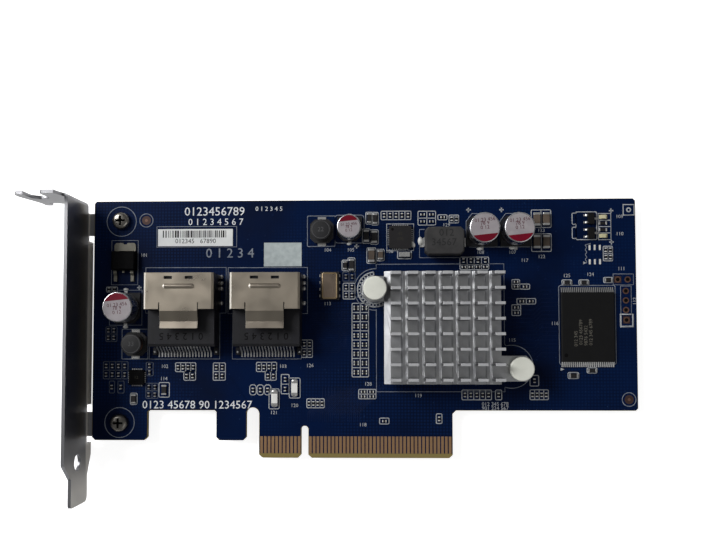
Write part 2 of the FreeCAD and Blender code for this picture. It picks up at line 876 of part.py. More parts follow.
# Controller chip: carrier with a raised lid, and the thermal pad on it
half = s["chip_wide"] / 2
controller, step = slab("controller_chip", -half, half, -half, half, 0, s["carrier_tall"])
lid_plan = sketch_on(controller, "XY_Plane", "controller_lid_plan", s["carrier_tall"])
lid_half = half - s["carrier_rim"]
rectangle(lid_plan, -lid_half, lid_half, -lid_half, lid_half)
step = grow(controller, "controller_lid", "Pad", lid_plan, s["chip_tall"] - s["carrier_tall"])
ease(controller, "controller_lid_edge", "Chamfer", step, s["lid_chamfer"], top_edges(s["chip_tall"]))
keep("controller_chip", controller, s["chip_x"], s["chip_y"])
half = s["pad_wide"] / 2
thermal, step = slab("thermal_pad", -half, half, -half, half, s["chip_tall"], s["sink_floor"])
keep("thermal_pad", thermal, s["chip_x"], s["chip_y"])

# Heat sink: base with a sloping left margin and two ears, fin rows cut crosswise into pins by kerfs
# with sloping sides
FIN_ROWS = 8
KERFS = 6
sink_sides = (s["sink_left"], s["sink_right"], s["sink_low"], s["sink_high"])
sink, step = slab("heat_sink", *sink_sides, s["sink_floor"], s["sink_base"])
sink_run = s["sink_high"] - s["sink_low"] + s["overrun"] * 2
sink_start = -s["sink_high"] - s["overrun"]
margin = sketch_on(sink, "XZ_Plane", "margin_profile", sink_start)
margin_foot = (s["sink_left"], s["sink_base"] - s["margin_drop"])
outline(margin, [(s["sink_left"], s["sink_base"]), margin_foot, (s["fin_left"], s["sink_base"])])
grow(sink, "margin_slope", "Pocket", margin, sink_run, back=True)
base_tall = s["sink_base"] - s["sink_floor"]
ear = s["ear_half"]
upper_end = s["pin_upper_x"] - ear
lower_end = s["pin_lower_x"] + ear
EARS = [
    ("upper_ear", upper_end, s["sink_left"], upper_end, s["pin_upper_y"]),
    ("lower_ear", s["sink_right"], lower_end, lower_end, s["pin_lower_y"]),
]
ear_corners = []
for name, left, right, tip, y in EARS:
    ear_plan = sketch_on(sink, "XY_Plane", name, s["sink_floor"])
    rectangle(ear_plan, left, right, y - ear, y + ear)
    grow(sink, f"{name}_pad", "Pad", ear_plan, base_tall)
    ear_corners += [(tip, y - ear), (tip, y + ear)]
ear_drill = sketch_on(sink, "XY_Plane", "ear_drill", s["sink_base"])
for x, y in PIN_SPOTS:
    circle(ear_drill, x, y, s["ear_hole"])
step = grow(sink, "ear_holes", "Pocket", ear_drill, base_tall + s["overrun"])
ease(sink, "ear_ends", "Chamfer", step, s["ear_chamfer"], edges_along("z", ear_corners))
fin_plan = sketch_on(sink, "XY_Plane", "fin_plan", s["sink_base"])
fin_half = s["fin_thick"] / 2
fin_right = s["fin_left"] + s["fin_step"] * KERFS + s["fin_long"]
rectangle(fin_plan, s["fin_left"], fin_right, s["fin_first_y"] - fin_half, s["fin_first_y"] + fin_half)
fin = grow(sink, "fin", "Pad", fin_plan, s["fin_top"] - s["sink_base"])
repeat(sink, "fin_rows", [fin], "Y_Axis", FIN_ROWS, s["fin_pitch"] * (FIN_ROWS - 1), back=True)
kerf_profile = sketch_on(sink, "XZ_Plane", "kerf_profile", sink_start)
kerf_left = s["fin_left"] + s["fin_long"]
kerf_right = s["fin_left"] + s["fin_step"]
kerf_floor = s["sink_base"] - s["kerf_slope"]
kerf_top = s["fin_top"] + s["overrun"]
outline(
    kerf_profile,
    [
        (kerf_left, kerf_top),
        (kerf_left, s["sink_base"]),
        (kerf_left + s["kerf_slope"], kerf_floor),
        (kerf_right - s["kerf_slope"], kerf_floor),
        (kerf_right, s["sink_base"]),
        (kerf_right, kerf_top),
    ],
)
kerf = grow(sink, "kerf", "Pocket", kerf_profile, sink_run, back=True)
repeat(sink, "kerfs", [kerf], "X_Axis", KERFS, s["fin_step"] * (KERFS - 1))
keep("heat_sink", sink)

# Push pins: flat head, shank through ear and board, split arrow barb below, and a coil spring each
SPRING_TURNS = 1
for name, (x, y) in zip(("upper", "lower"), PIN_SPOTS):
    pin = new_body(f"push_pin_{name}")
    profile = sketch_on(pin, "XZ_Plane", f"pin_profile_{name}")
    shank = s["pin_shank"] / 2
    head = s["pin_head"] / 2
    outline(
        profile,
        [
            (0, -s["board_thick"]),
            (shank, -s["board_thick"]),
            (shank, s["pin_seat"]),
            (head, s["pin_seat"]),
            (head, s["pin_crown"] - s["pin_brow"]),
            (head - s["pin_brow"], s["pin_crown"]),
            (0, s["pin_crown"]),
        ],
    )
    spin(pin, f"pin_turned_{name}", profile)
    arrow = sketch_on(pin, "XZ_Plane", f"pin_arrow_{name}")
    shoulder = s["barb_wide"] / 2
    point = s["barb_tip"] / 2
    outline(
        arrow,
        [
            (-shoulder, -s["board_thick"]),
            (-point, s["plate_far"]),
            (point, s["plate_far"]),
            (shoulder, -s["board_thick"]),
        ],
    )
    grow(pin, f"pin_barb_{name}", "Pad", arrow, s["barb_thick"], both=True)
    split = sketch_on(pin, "XZ_Plane", f"pin_split_{name}")
    slit_half = s["pin_slit"] / 2
    rectangle(split, -slit_half, slit_half, s["plate_far"] - s["overrun"], s["pin_slit_top"])
    grow(pin, f"pin_slit_{name}", "Pocket", split, s["pin_head"], both=True)
    keep(f"push_pin_{name}", pin, x, y)

    spring = new_body(f"push_pin_spring_{name}")
    wire = sketch_on(spring, "XZ_Plane", f"spring_wire_{name}")
    gauge = s["spring_gauge"]
    rectangle(wire, s["spring_inner"], s["spring_inner"] + gauge, s["sink_base"], s["sink_base"] + gauge)
    coil = spring.newObject("PartDesign::AdditiveHelix", f"spring_coil_{name}")
    coil.Profile = wire
    coil.ReferenceAxis = (wire, ["V_Axis"])
    coil.Mode = "height-turns-angle"
    bind(coil, "Height", s["pin_seat"] - s["sink_base"] - gauge)
    coil.Turns = SPRING_TURNS
    spring.Tip = coil
    keep(f"push_pin_spring_{name}", spring, x, y)

# Memory chip with a row of leads at both ends
FLASH_LEADS = 28
half_wide = s["flash_wide"] / 2
half_long = s["flash_long"] / 2
flash, step = slab("flash_chip", -half_wide, half_wide, -half_long, half_long, s["lift"], s["flash_tall"])
ease(flash, "flash_edge", "Chamfer", step, s["flash_chamfer"], top_edges(s["flash_tall"]))
keep("flash_chip", flash, s["flash_x"], s["flash_y"])
flash_leads = new_body("flash_chip_leads")
flash_run = s["flash_pitch"] * (FLASH_LEADS - 1)
for part, side in (("top", 1), ("low", -1)):
    bend = sketch_on(flash_leads, "YZ_Plane", f"flash_bend_{part}", -flash_run / 2)
    outline(
        bend,
        [
            (half_long * side, s["flash_lead_root"]),
            (s["flash_foot"] * side, s["flash_lead_thick"]),
            (s["flash_foot"] * side, 0),
            (half_long * side, s["flash_lead_root"] - s["flash_lead_thick"]),
        ],
    )
    lead = grow(flash_leads, f"flash_lead_{part}", "Pad", bend, s["flash_lead_wide"], both=True)
    repeat(flash_leads, f"flash_row_{part}", [lead], "X_Axis", FLASH_LEADS, flash_run)
keep("flash_chip_leads", flash_leads, s["flash_x"], s["flash_y"])

# Power inductor: block with eased corners on two wrap-round terminals
half_wide = s["coil_wide"] / 2
half_deep = s["coil_deep"] / 2
foot_thick = s["coil_foot_thick"]
coil_block, step = slab(
    "power_inductor", -half_wide, half_wide, -half_deep, half_deep, foot_thick, s["coil_tall"]
)
coil_corners = [(x, y) for x in (-half_wide, half_wide) for y in (-half_deep, half_deep)]
step = ease(coil_block, "coil_corners", "Chamfer", step, s["coil_corner"], edges_along("z", coil_corners))
ease(coil_block, "coil_rim", "Chamfer", step, s["coil_rim"], top_edges(s["coil_tall"]))
keep("power_inductor", coil_block, s["coil_x"], s["coil_y"])
coil_feet = new_body("power_inductor_terminals")
for part, side in (("left", -1), ("right", 1)):
    profile = sketch_on(coil_feet, "XZ_Plane", f"coil_foot_{part}")
    reach = half_wide + s[f"coil_foot_{part}"]
    under = half_wide - s["coil_foot_under"]
    wall = half_wide + s["coil_foot_wall"]
    shape = [
        (under, 0),
        (reach, 0),
        (reach, foot_thick),
        (wall, foot_thick),
        (wall, s["coil_foot_tall"]),
        (half_wide, s["coil_foot_tall"]),
        (half_wide, foot_thick),
        (under, foot_thick),
    ]
    outline(profile, [(x * side, z) for x, z in shape])
    grow(coil_feet, f"coil_terminal_{part}", "Pad", profile, s["coil_foot_wide"], both=True)
keep("power_inductor_terminals", coil_feet, s["coil_x"], s["coil_y"])

# Drum inductors: flanged core, wound wire under the flange, chamfered base and two terminals
drum_feet = []
for name in ("upper", "lower"):
    x = s[f"drum_{name}_x"]
    y = s[f"drum_{name}_y"]
    rim = s["drum_dia"] / 2
    shank = s["drum_shank"] / 2
    base_top = s["drum_base_top"]
    flange_low = s["drum_tall"] - s["drum_flange"]
    core = new_body(f"drum_core_{name}")
    profile = sketch_on(core, "XZ_Plane", f"drum_profile_{name}")
    outline(
        profile,
        [
            (0, base_top),
            (shank, base_top),
            (shank, flange_low),
            (rim, flange_low),
            (rim, s["drum_tall"]),
            (0, s["drum_tall"]),
        ],
    )
    spin(core, f"drum_turned_{name}", profile)
    keep(f"drum_inductor_{name}_core", core, x, y)
    winding = new_body(f"drum_winding_{name}")
    profile = sketch_on(winding, "XZ_Plane", f"winding_profile_{name}")
    rectangle(profile, shank, s["drum_wound"] / 2, base_top, flange_low)
    spin(winding, f"winding_turned_{name}", profile)
    keep(f"drum_inductor_{name}_winding", winding, x, y)
    half = s["drum_base"] / 2
    foot, step = slab(f"drum_base_{name}", -half, half, -half, half, s["lift"], base_top)
    foot_corners = [(a, b) for a in (-half, half) for b in (-half, half)]
    cut = s["drum_base_chamfer"]
    ease(foot, f"drum_base_corners_{name}", "Chamfer", step, cut, edges_along("z", foot_corners))
    keep(f"drum_inductor_{name}_base", foot, x, y)
    reach = half + s["drum_foot_out"]
    under = half - s["drum_foot_under"]
    sides = (x - s["drum_foot_half"], x + s["drum_foot_half"])
    drum_feet.append(box(f"drum_foot_{name}_top", *sides, y + under, y + reach, 0, s["lift"]))
    drum_feet.append(box(f"drum_foot_{name}_low", *sides, y - reach, y - under, 0, s["lift"]))
group("drum_inductor_terminals", drum_feet)

# Aluminium capacitors: can drawn in at its foot, on a square base with two corners cut at the
# positive end
CAPACITORS = [
    ("left", 8.79, 39.95, "large", -1),
    ("middle", 69.15, 61.0, "small", -1),
    ("third", 104.37, 60.27, "large", 1),
    ("fourth", 113.37, 60.25, "large", 1),
]
can_feet = []
for name, x, y, kind, plus in CAPACITORS:
    wall = s[f"can_{kind}"] / 2
    tall = s[f"can_{kind}_tall"]
    seat = s["can_seat"]
    can = new_body(f"can_{name}")
    profile = sketch_on(can, "XZ_Plane", f"can_profile_{name}")
    outline(
        profile,
        [
            (0, seat),
            (wall - s["can_neck"], seat),
            (wall, seat + s["can_neck_rise"]),
            (wall, tall - s["can_rim"]),
            (wall - s["can_rim"], tall),
            (0, tall),
        ],
    )
    spin(can, f"can_turned_{name}", profile)
    keep(f"capacitor_{name}_can", can, x, y)
    half = wall + s["can_base_lip"]
    foot, step = slab(f"can_base_{name}", -half, half, -half, half, s["lift"], seat)
    foot_corners = [(a, half * plus) for a in (-half, half)]
    cut = s["can_base_cut"]
    ease(foot, f"can_base_corners_{name}", "Chamfer", step, cut, edges_along("z", foot_corners))
    keep(f"capacitor_{name}_base", foot, x, y)
    reach = wall + s["can_foot_out"]
    under = wall - s["can_foot_under"]
    sides = (x - s["can_foot_half"], x + s["can_foot_half"])
    can_feet.append(box(f"can_foot_{name}_top", *sides, y + under, y + reach, 0, s["lift"]))
    can_feet.append(box(f"can_foot_{name}_low", *sides, y - reach, y - under, 0, s["lift"]))
group("capacitor_terminals", can_feet)

# Power transistor: moulded body, soldered tab with a notch, two bent leads and a cropped one
half_wide = s["trans_wide"] / 2
half_deep = s["trans_deep"] / 2
trans, step = slab("power_transistor", -half_wide, half_wide, -half_deep, half_deep, 0, s["trans_tall"])
ease(trans, "trans_edge", "Chamfer", step, s["trans_rim"], top_edges(s["trans_tall"]))
keep("power_transistor", trans, s["trans_x"], s["trans_y"])
metal = new_body("power_transistor_tab")
tab_plan = sketch_on(metal, "XY_Plane", "trans_tab_plan")
tab_half = half_wide - s["trans_tab_inset"]
tab_far = s["trans_tab"] - s["trans_y"]
corner = s["trans_tab_corner"]
notch = s["trans_notch_half"]
notch_floor = tab_far - s["trans_notch_deep"]
outline(
    tab_plan,
    [
        (-tab_half, half_deep),
        (tab_half, half_deep),
        (tab_half, tab_far - corner),
        (tab_half - corner, tab_far),
        (notch, tab_far),
        (notch, notch_floor),
        (-notch, notch_floor),
        (-notch, tab_far),
        (corner - tab_half, tab_far),
        (-tab_half, tab_far - corner),
    ],
)
metal_thick = s["trans_tab_thick"]
grow(metal, "trans_tab_pad", "Pad", tab_plan, metal_thick)
lead_side = sketch_on(metal, "YZ_Plane", "trans_lead_side", s["trans_lead_x"])
root = s["trans_lead_root"]
shift = s["trans_lead_shift"]
outline(
    lead_side,
    [
        (-half_deep, root),
        (-half_deep - s["trans_lead_knee"], root),
        (-half_deep - s["trans_lead_heel"], metal_thick),
        (-half_deep - s["trans_lead_toe"], metal_thick),
        (-half_deep - s["trans_lead_toe"], 0),
        (-half_deep - s["trans_lead_heel"] - shift, 0),
        (-half_deep - s["trans_lead_knee"] - shift, root - metal_thick),
        (-half_deep, root - metal_thick),
    ],
)
lead = grow(metal, "trans_lead", "Pad", lead_side, s["trans_lead_wide"], both=True)
repeat(metal, "trans_leads", [lead], "X_Axis", 2, s["trans_lead_pitch"])
stub_plan = sketch_on(metal, "XY_Plane", "trans_stub_plan", root - metal_thick)
stub_end = -half_deep - s["trans_stub_long"]
rectangle(stub_plan, s["trans_stub_left"], s["trans_stub_right"], stub_end, -half_deep)
grow(metal, "trans_stub", "Pad", stub_plan, metal_thick)
keep("power_transistor_tab", metal, s["trans_x"], s["trans_y"])

# Flat leadless packages and the clock oscillator
for name, alias in (("regulator_chip", "regulator"), ("small_controller_chip", "small_chip")):
    half = s[f"{alias}_wide"] / 2
    chip, step = slab(name, -half, half, -half, half, 0, s["flat_tall"])
    keep(name, chip, s[f"{alias}_x"], s[f"{alias}_y"])
half_wide = s["clock_wide"] / 2
half_long = s["clock_long"] / 2
clock, step = slab("oscillator_base", -half_wide, half_wide, -half_long, half_long, 0, s["flat_tall"])
keep("oscillator_base", clock, s["clock_x"], s["clock_y"])
half_wide = s["clock_lid_wide"] / 2
half_long = s["clock_lid_long"] / 2
lid_sides = (-half_wide, half_wide, -half_long, half_long)
lid, step = slab("oscillator_lid", *lid_sides, s["flat_tall"], s["clock_lid_tall"])
corners = [(x, y) for x in (-half_wide, half_wide) for y in (-half_long, half_long)]
ease(lid, "lid_corners", "Chamfer", step, s["clock_lid_corner"], edges_along("z", corners))
keep("oscillator_lid", lid, s["clock_x"], s["clock_y"])

# Two three-lead signal transistors
sot_bodies = []
sot_half = s["sot_wide"] / 2
sot_leads = new_body("signal_transistor_leads")
sot_thick = s["sot_lead_thick"]
SOT_LEADS = [("a", -1, s["sot_pitch"]), ("b", -1, -s["sot_pitch"]), ("c", 1, 0)]
for name in ("upper", "lower"):
    y = s[f"sot_{name}_y"]
    half = s["sot_long"] / 2
    sides = (s["sot_x"] - sot_half, s["sot_x"] + sot_half, y - half, y + half)
    sot_bodies.append(box(f"sot_{name}", *sides, s["lift"], s["sot_tall"]))
    for spot, side, along in SOT_LEADS:
        profile = sketch_on(sot_leads, "XZ_Plane", f"sot_lead_{name}_{spot}", -(y + along))
        shape = [
            (sot_half, s["sot_lead_root"]),
            (sot_half + s["sot_knee"], s["sot_lead_root"]),
            (sot_half + s["sot_heel"], sot_thick),
            (sot_half + s["sot_toe"], sot_thick),
            (sot_half + s["sot_toe"], 0),
            (sot_half + s["sot_heel"] - sot_thick, 0),
            (sot_half + s["sot_knee"] - sot_thick, s["sot_lead_root"] - sot_thick),
            (sot_half, s["sot_lead_root"] - sot_thick),
        ]
        outline(profile, [(s["sot_x"] + x * side, z) for x, z in shape])
        grow(sot_leads, f"sot_lead_pad_{name}_{spot}", "Pad", profile, s["sot_lead_wide"], both=True)
keep("signal_transistor_leads", sot_leads)
group("signal_transistors", sot_bodies)

# Two status lamps: a carrier with a clear block on it
lamps = []
for name in ("upper", "lower"):
    x = s["led_x"]
    y = s[f"led_{name}_y"]
    across = (y - s["led_half_wide"], y + s["led_half_wide"])
    carrier = (x - s["led_half_long"], x + s["led_half_long"])
    lens = (x - s["led_lens_half"], x + s["led_lens_half"])
    lamps.append(box(f"lamp_carrier_{name}", *carrier, *across, 0, s["led_carrier"]))
    lamps.append(box(f"lamp_block_{name}", *lens, *across, s["led_carrier"], s["led_tall"]))
group("status_leds", lamps)

# Two-ended chips: centre x, centre y, width across, length between ends, height, ends along y or x
CERAMICS = [
    (74.95, 53.89, 1.7, 3.6, 1.0, "y"),
    (77.39, 54.01, 1.35, 2.4, 0.9, "y"),
    (118.95, 63.33, 1.75, 3.5, 1.1, "y"),
    (121.43, 63.42, 1.75, 3.4, 1.1, "y"),
    (118.89, 57.34, 1.75, 3.5, 1.1, "y"),
    (121.40, 57.32, 1.75, 3.5, 1.1, "y"),
]
DARKS = [
    (73.60, 59.15, 1.45, 3.2, 0.7, "y"),
    (75.73, 58.87, 1.5, 3.2, 0.7, "y"),
    (74.35, 63.96, 1.1, 2.6, 0.5, "y"),
    (75.94, 63.79, 1.2, 2.8, 0.5, "y"),
    (67.89, 51.27, 1.0, 2.1, 0.5, "y"),
    (69.62, 51.42, 1.3, 3.1, 0.6, "y"),
    (83.79, 54.09, 1.3, 2.9, 0.5, "x"),
    (19.42, 18.05, 1.3, 2.6, 0.5, "y"),
    (11.23, 15.65, 1.2, 2.4, 0.5, "y"),
    (136.42, 62.27, 0.85, 2.1, 0.45, "x"),
    (136.42, 60.50, 0.85, 2.1, 0.45, "x"),
    (126.82, 46.49, 1.0, 2.1, 0.5, "x"),
    (131.29, 46.48, 1.0, 2.1, 0.5, "x"),
    (137.68, 47.12, 1.0, 2.0, 0.5, "x"),
    (128.24, 21.87, 1.2, 2.3, 0.5, "x"),
    (133.15, 23.20, 1.0, 2.2, 0.5, "x"),
]
FUSES = [
    (49.07, 15.81, 1.7, 3.7, 0.7, "y"),
    (54.40, 18.59, 1.7, 3.7, 0.7, "y"),
]
END_SHARE = 0.16
chip_ends = []
for kind, table in (("ceramic_capacitors", CERAMICS), ("dark_chips", DARKS), ("chip_fuses", FUSES)):
    middles = []
    for i, (x, y, wide, long, tall, way) in enumerate(table):
        cap = long * END_SHARE
        spans = [(-long / 2, cap - long / 2), (cap - long / 2, long / 2 - cap), (long / 2 - cap, long / 2)]
        for j, (start, stop) in enumerate(spans):
            middle = j == 1
            waist = s["chip_end_step"] if middle else 0
            side = wide / 2 - waist
            if way == "y":
                limits = (x - side, x + side, y + start, y + stop)
            else:
                limits = (x + start, x + stop, y - side, y + side)
            piece = box(f"{kind}_{i}_{j}", *limits, 0, tall - waist)
            (middles if middle else chip_ends).append(piece)
    group(kind, middles)
group("chip_terminations", chip_ends)

# Tiny chips in cells: left, right, low, high, columns, rows, chip size along x and y
CELLS = [
    (69.75, 74.15, 21.5, 41.1, 2, 8, 1.35, 1.3),
    (98.55, 106.2, 51.5, 53.35, 4, 1, 0.6, 1.1),
    (98.55, 106.2, 50.0, 51.4, 4, 1, 1.1, 0.6),
    (98.85, 106.65, 15.45, 18.05, 5, 1, 0.6, 1.1),
    (107.7, 109.35, 15.45, 18.05, 1, 1, 0.6, 1.1),
    (116.8, 119.1, 19.1, 21.9, 1, 1, 0.6, 1.1),
    (116.8, 121.6, 15.5, 18.1, 4, 1, 0.6, 1.1),
    (22.45, 27.9, 22.9, 25.3, 4, 1, 0.6, 1.1),
    (24.7, 27.85, 20.6, 22.9, 2, 1, 0.6, 1.1),
    (32.6, 35.85, 20.6, 25.25, 2, 2, 0.6, 1.1),
    (44.2, 49.6, 22.9, 25.4, 4, 1, 0.6, 1.1),
    (46.55, 49.5, 20.6, 22.9, 2, 1, 0.6, 1.1),
    (42.3, 48.2, 16.7, 19.4, 3, 1, 0.6, 1.1),
    (50.85, 52.95, 17.0, 22.15, 1, 2, 0.6, 1.1),
    (57.7, 62.35, 13.3, 15.7, 4, 1, 0.6, 1.1),
    (56.25, 59.15, 26.7, 31.35, 2, 2, 0.6, 1.1),
    (71.5, 76.1, 15.7, 18.2, 2, 2, 1.1, 0.6),
    (112.3, 114.35, 44.8, 47.3, 1, 2, 1.1, 0.6),
    (114.4, 117.0, 44.75, 46.1, 1, 1, 1.1, 0.6),
    (113.55, 118.55, 40.8, 42.25, 2, 1, 1.1, 0.6),
    (112.2, 114.55, 37.75, 40.6, 1, 2, 1.1, 0.6),
    (77.05, 79.55, 9.05, 10.6, 1, 1, 1.1, 0.6),
    (92.05, 93.55, 9.2, 11.75, 1, 1, 0.6, 1.1),
    (77.55, 85.55, 63.5, 65.8, 5, 1, 0.6, 1.1),
    (87.45, 92.15, 62.0, 65.75, 2, 2, 1.1, 0.6),
    (92.75, 95.2, 63.4, 64.75, 1, 1, 1.1, 0.6),
    (95.75, 98.3, 62.55, 64.65, 2, 1, 0.6, 1.1),
    (67.35, 70.55, 42.25, 46.5, 2, 2, 0.6, 1.1),
    (3.5, 6.5, 44.3, 45.7, 2, 1, 0.6, 1.1),
]
tiny = []
for i, (left, right, low, high, columns, rows, wide, long) in enumerate(CELLS):
    for column in range(columns):
        for row in range(rows):
            x = left + (right - left) * (column + 0.5) / columns
            y = low + (high - low) * (row + 0.5) / rows
            limits = (x - wide / 2, x + wide / 2, y - long / 2, y + long / 2)
            tiny.append(box(f"tiny_{i}_{column}_{row}", *limits, 0, s["tiny_tall"]))
group("tiny_chips", tiny)

# Blank sticker near the upper edge
label_sides = (s["label_left"], s["label_right"], s["label_low"], s["label_high"])
sticker, step = slab("label_sticker", *label_sides, 0, s["lift"])
keep("label_sticker", sticker)

# Every piece must be sound before it is written
doc.recompute()
for thing in doc.Objects:
    if "Invalid" in thing.State or "Error" in thing.State:
        raise RuntimeError(f"{thing.Name} did not build: {thing.State}")
os.makedirs("parts", exist_ok=True)
for piece in NODES:
    if piece.Shape.isNull() or not piece.Shape.isValid() or not piece.Shape.Solids:
        raise RuntimeError(f"{piece.Label} has no sound shape")
for piece in NODES:
    piece.Shape.exportStep(f"parts/{piece.Label}.step")
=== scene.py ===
# Host bus adapter card: finishes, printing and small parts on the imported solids, in metres.
import json
import math
import random

import bmesh
import bpy
from mathutils import Euler, Matrix, Vector


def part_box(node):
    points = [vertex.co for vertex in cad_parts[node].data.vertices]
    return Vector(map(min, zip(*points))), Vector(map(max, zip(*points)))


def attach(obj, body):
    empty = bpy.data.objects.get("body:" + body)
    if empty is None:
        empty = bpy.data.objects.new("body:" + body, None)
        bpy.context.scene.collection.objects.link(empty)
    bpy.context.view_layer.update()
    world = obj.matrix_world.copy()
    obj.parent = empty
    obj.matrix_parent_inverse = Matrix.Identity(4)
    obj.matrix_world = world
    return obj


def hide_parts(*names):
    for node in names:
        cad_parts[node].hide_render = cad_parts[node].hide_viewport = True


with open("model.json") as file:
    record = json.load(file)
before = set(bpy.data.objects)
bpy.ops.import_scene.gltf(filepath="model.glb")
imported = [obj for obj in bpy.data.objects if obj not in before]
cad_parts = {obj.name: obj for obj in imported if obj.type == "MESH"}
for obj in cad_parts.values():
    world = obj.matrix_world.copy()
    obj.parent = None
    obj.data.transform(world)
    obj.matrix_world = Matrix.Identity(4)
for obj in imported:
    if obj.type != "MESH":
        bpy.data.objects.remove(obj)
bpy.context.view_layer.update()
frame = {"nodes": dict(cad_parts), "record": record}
nodes = frame["nodes"]
MM = 0.001

# Card positions run from the board's left edge, the contacts' lower edge and the component face
board_low, board_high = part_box("circuit_board")
CARD_ORIGIN = Vector((board_low.x, board_low.y, board_high.z))
BACK = (board_low.z - board_high.z) / MM


def card(x, y, z=0.0):
    """A point on the card, given in millimetres, as a place in the frame."""
    return CARD_ORIGIN + Vector((x, y, z)) * MM


def paint(red, green, blue):
    """A screen colour from 0 to 255 as the linear colour that a shader takes."""
    linear = []
    for value in (red, green, blue):
        value /= 255
        linear.append(value / 12.92 if value <= 0.04045 else ((value + 0.055) / 1.055) ** 2.4)
    return (*linear, 1.0)


def grey(level):
    return (level, level, level, 1.0)


def put_in_scene(name, data):
    thing = bpy.data.objects.new(name, data)
    bpy.context.scene.collection.objects.link(thing)
    return thing


# Building node trees
def feed(tree, node, inputs):
    """Set or link a node's inputs, each named by its socket or its number."""
    for socket, value in inputs.items():
        if isinstance(value, bpy.types.NodeSocket):
            tree.links.new(value, node.inputs[socket])
        else:
            node.inputs[socket].default_value = value


def add_node(tree, kind, inputs=None, **traits):
    node = tree.nodes.new(kind)
    for trait, value in traits.items():
        setattr(node, trait, value)
    feed(tree, node, inputs or {})
    return node


def calc(tree, operation, *values):
    """A sum or a test on numbers and sockets."""
    return add_node(tree, "ShaderNodeMath", dict(enumerate(values)), operation=operation).outputs[0]


def ramp(tree, value, low, high, start=0.0, end=1.0):
    """A value from start to end, as another goes from low to high."""
    limits = {"Value": value, "From Min": low, "From Max": high, "To Min": start, "To Max": end}
    return add_node(tree, "ShaderNodeMapRange", limits).outputs["Result"]


def blend_colours(tree, mask, first, second):
    """From one colour to another by a mask; either colour may be a socket."""
    return add_node(tree, "ShaderNodeMix", {0: mask, 6: first, 7: second}, data_type="RGBA").outputs[2]


def split_axes(tree, vector):
    return add_node(tree, "ShaderNodeSeparateXYZ", {0: vector}).outputs


def place_in(tree):
    """The object coordinates, axis by axis."""
    return split_axes(tree, add_node(tree, "ShaderNodeTexCoord").outputs["Object"])


def between(axis, low, high):
    """Two tests on one axis of a normal."""
    return (axis, "GREATER_THAN", low), (axis, "LESS_THAN", high)


def faces_where(tree, *tests):
    """1 where the surface normal passes every test of axis, rule and limit, 0 elsewhere."""
    facing = split_axes(tree, add_node(tree, "ShaderNodeNewGeometry").outputs["Normal"])
    mask = 1.0
    for axis, rule, limit in tests:
        mask = calc(tree, "MULTIPLY", mask, calc(tree, rule, facing[axis], limit))
    return mask


NUMBER = "NodeSocketFloat"
GEOMETRY = "NodeSocketGeometry"


def start_group(name, kind, inputs, result_kind):
    """A new node group with named inputs and one result."""
    tree = bpy.data.node_groups.new(name, kind)
    for socket, socket_kind in inputs:
        tree.interface.new_socket(socket, in_out="INPUT", socket_type=socket_kind)
    tree.interface.new_socket("Result", in_out="OUTPUT", socket_type=result_kind)
    return tree, tree.nodes.new("NodeGroupInput").outputs


def end_group(tree, result):
    add_node(tree, "NodeGroupOutput", {0: result})


# Camera: fitted to the photograph, nearly straight down, with the optical axis below the picture's middle
PHOTO_WIDTH = 726
PHOTO_HEIGHT = 548
FOCAL_PIXELS = 793.9
PRINCIPAL_X = 360.9
PRINCIPAL_Y = 311.1
CAMERA_PLACE = (77.97, 30.23, 211.65)
CAMERA_TURN = (2.376, 1.588, -0.071)
SENSOR = 36.0


def make_camera():
    data = bpy.data.cameras.new("card_camera")
    data.sensor_width = SENSOR
    data.lens = FOCAL_PIXELS / PHOTO_WIDTH * SENSOR
    data.shift_x = (PHOTO_WIDTH / 2 - PRINCIPAL_X) / PHOTO_WIDTH
    data.shift_y = (PRINCIPAL_Y - PHOTO_HEIGHT / 2) / PHOTO_WIDTH
    data.clip_start = 0.01
    data.clip_end = 20.0
    camera = put_in_scene("card_camera", data)
    camera.location = card(*CAMERA_PLACE)
    camera.rotation_euler = Euler([math.radians(angle) for angle in CAMERA_TURN], "XYZ")
    bpy.context.scene.camera = camera


# Soft studio light from the card's bracket side, under a sky that is dim on the other side
LAMPS = [
    ("window_light", (-0.59, 0.34, 0.58), 0.42, 6.2),
    ("low_window_light", (-0.78, 0.10, 0.30), 0.30, 0.45),
    ("fill_light", (0.50, -0.45, 0.62), 0.70, 0.8),
]
SKY_ZENITH = 0.15
SKY_LEFT = 0.40
SKY_RIGHT = 0.14
SKY_RISE = 0.75


def make_lights():
    for name, place, size, power in LAMPS:
        data = bpy.data.lights.new(name, "AREA")
        data.energy = power
        data.size = size
        lamp = put_in_scene(name, data)
        lamp.location = place
        lamp.rotation_euler = (-Vector(place)).to_track_quat("-Z", "Y").to_euler()
    world = bpy.data.worlds.new("studio")
    bpy.context.scene.world = world
    world.use_nodes = True
    tree = world.node_tree
    way = split_axes(tree, add_node(tree, "ShaderNodeTexCoord").outputs["Generated"])
    across = ramp(tree, way["X"], -1.0, 1.0)
    rise = ramp(tree, way["Z"], 0.0, SKY_RISE)
    horizon = blend_colours(tree, across, grey(SKY_LEFT), grey(SKY_RIGHT))
    sky = blend_colours(tree, rise, horizon, grey(SKY_ZENITH))
    feed(tree, tree.nodes["Background"], {"Color": sky})


FLOOR_HALF = 4.0
FLOOR_GREY = 0.8
FLOOR_GLOW = 0.82


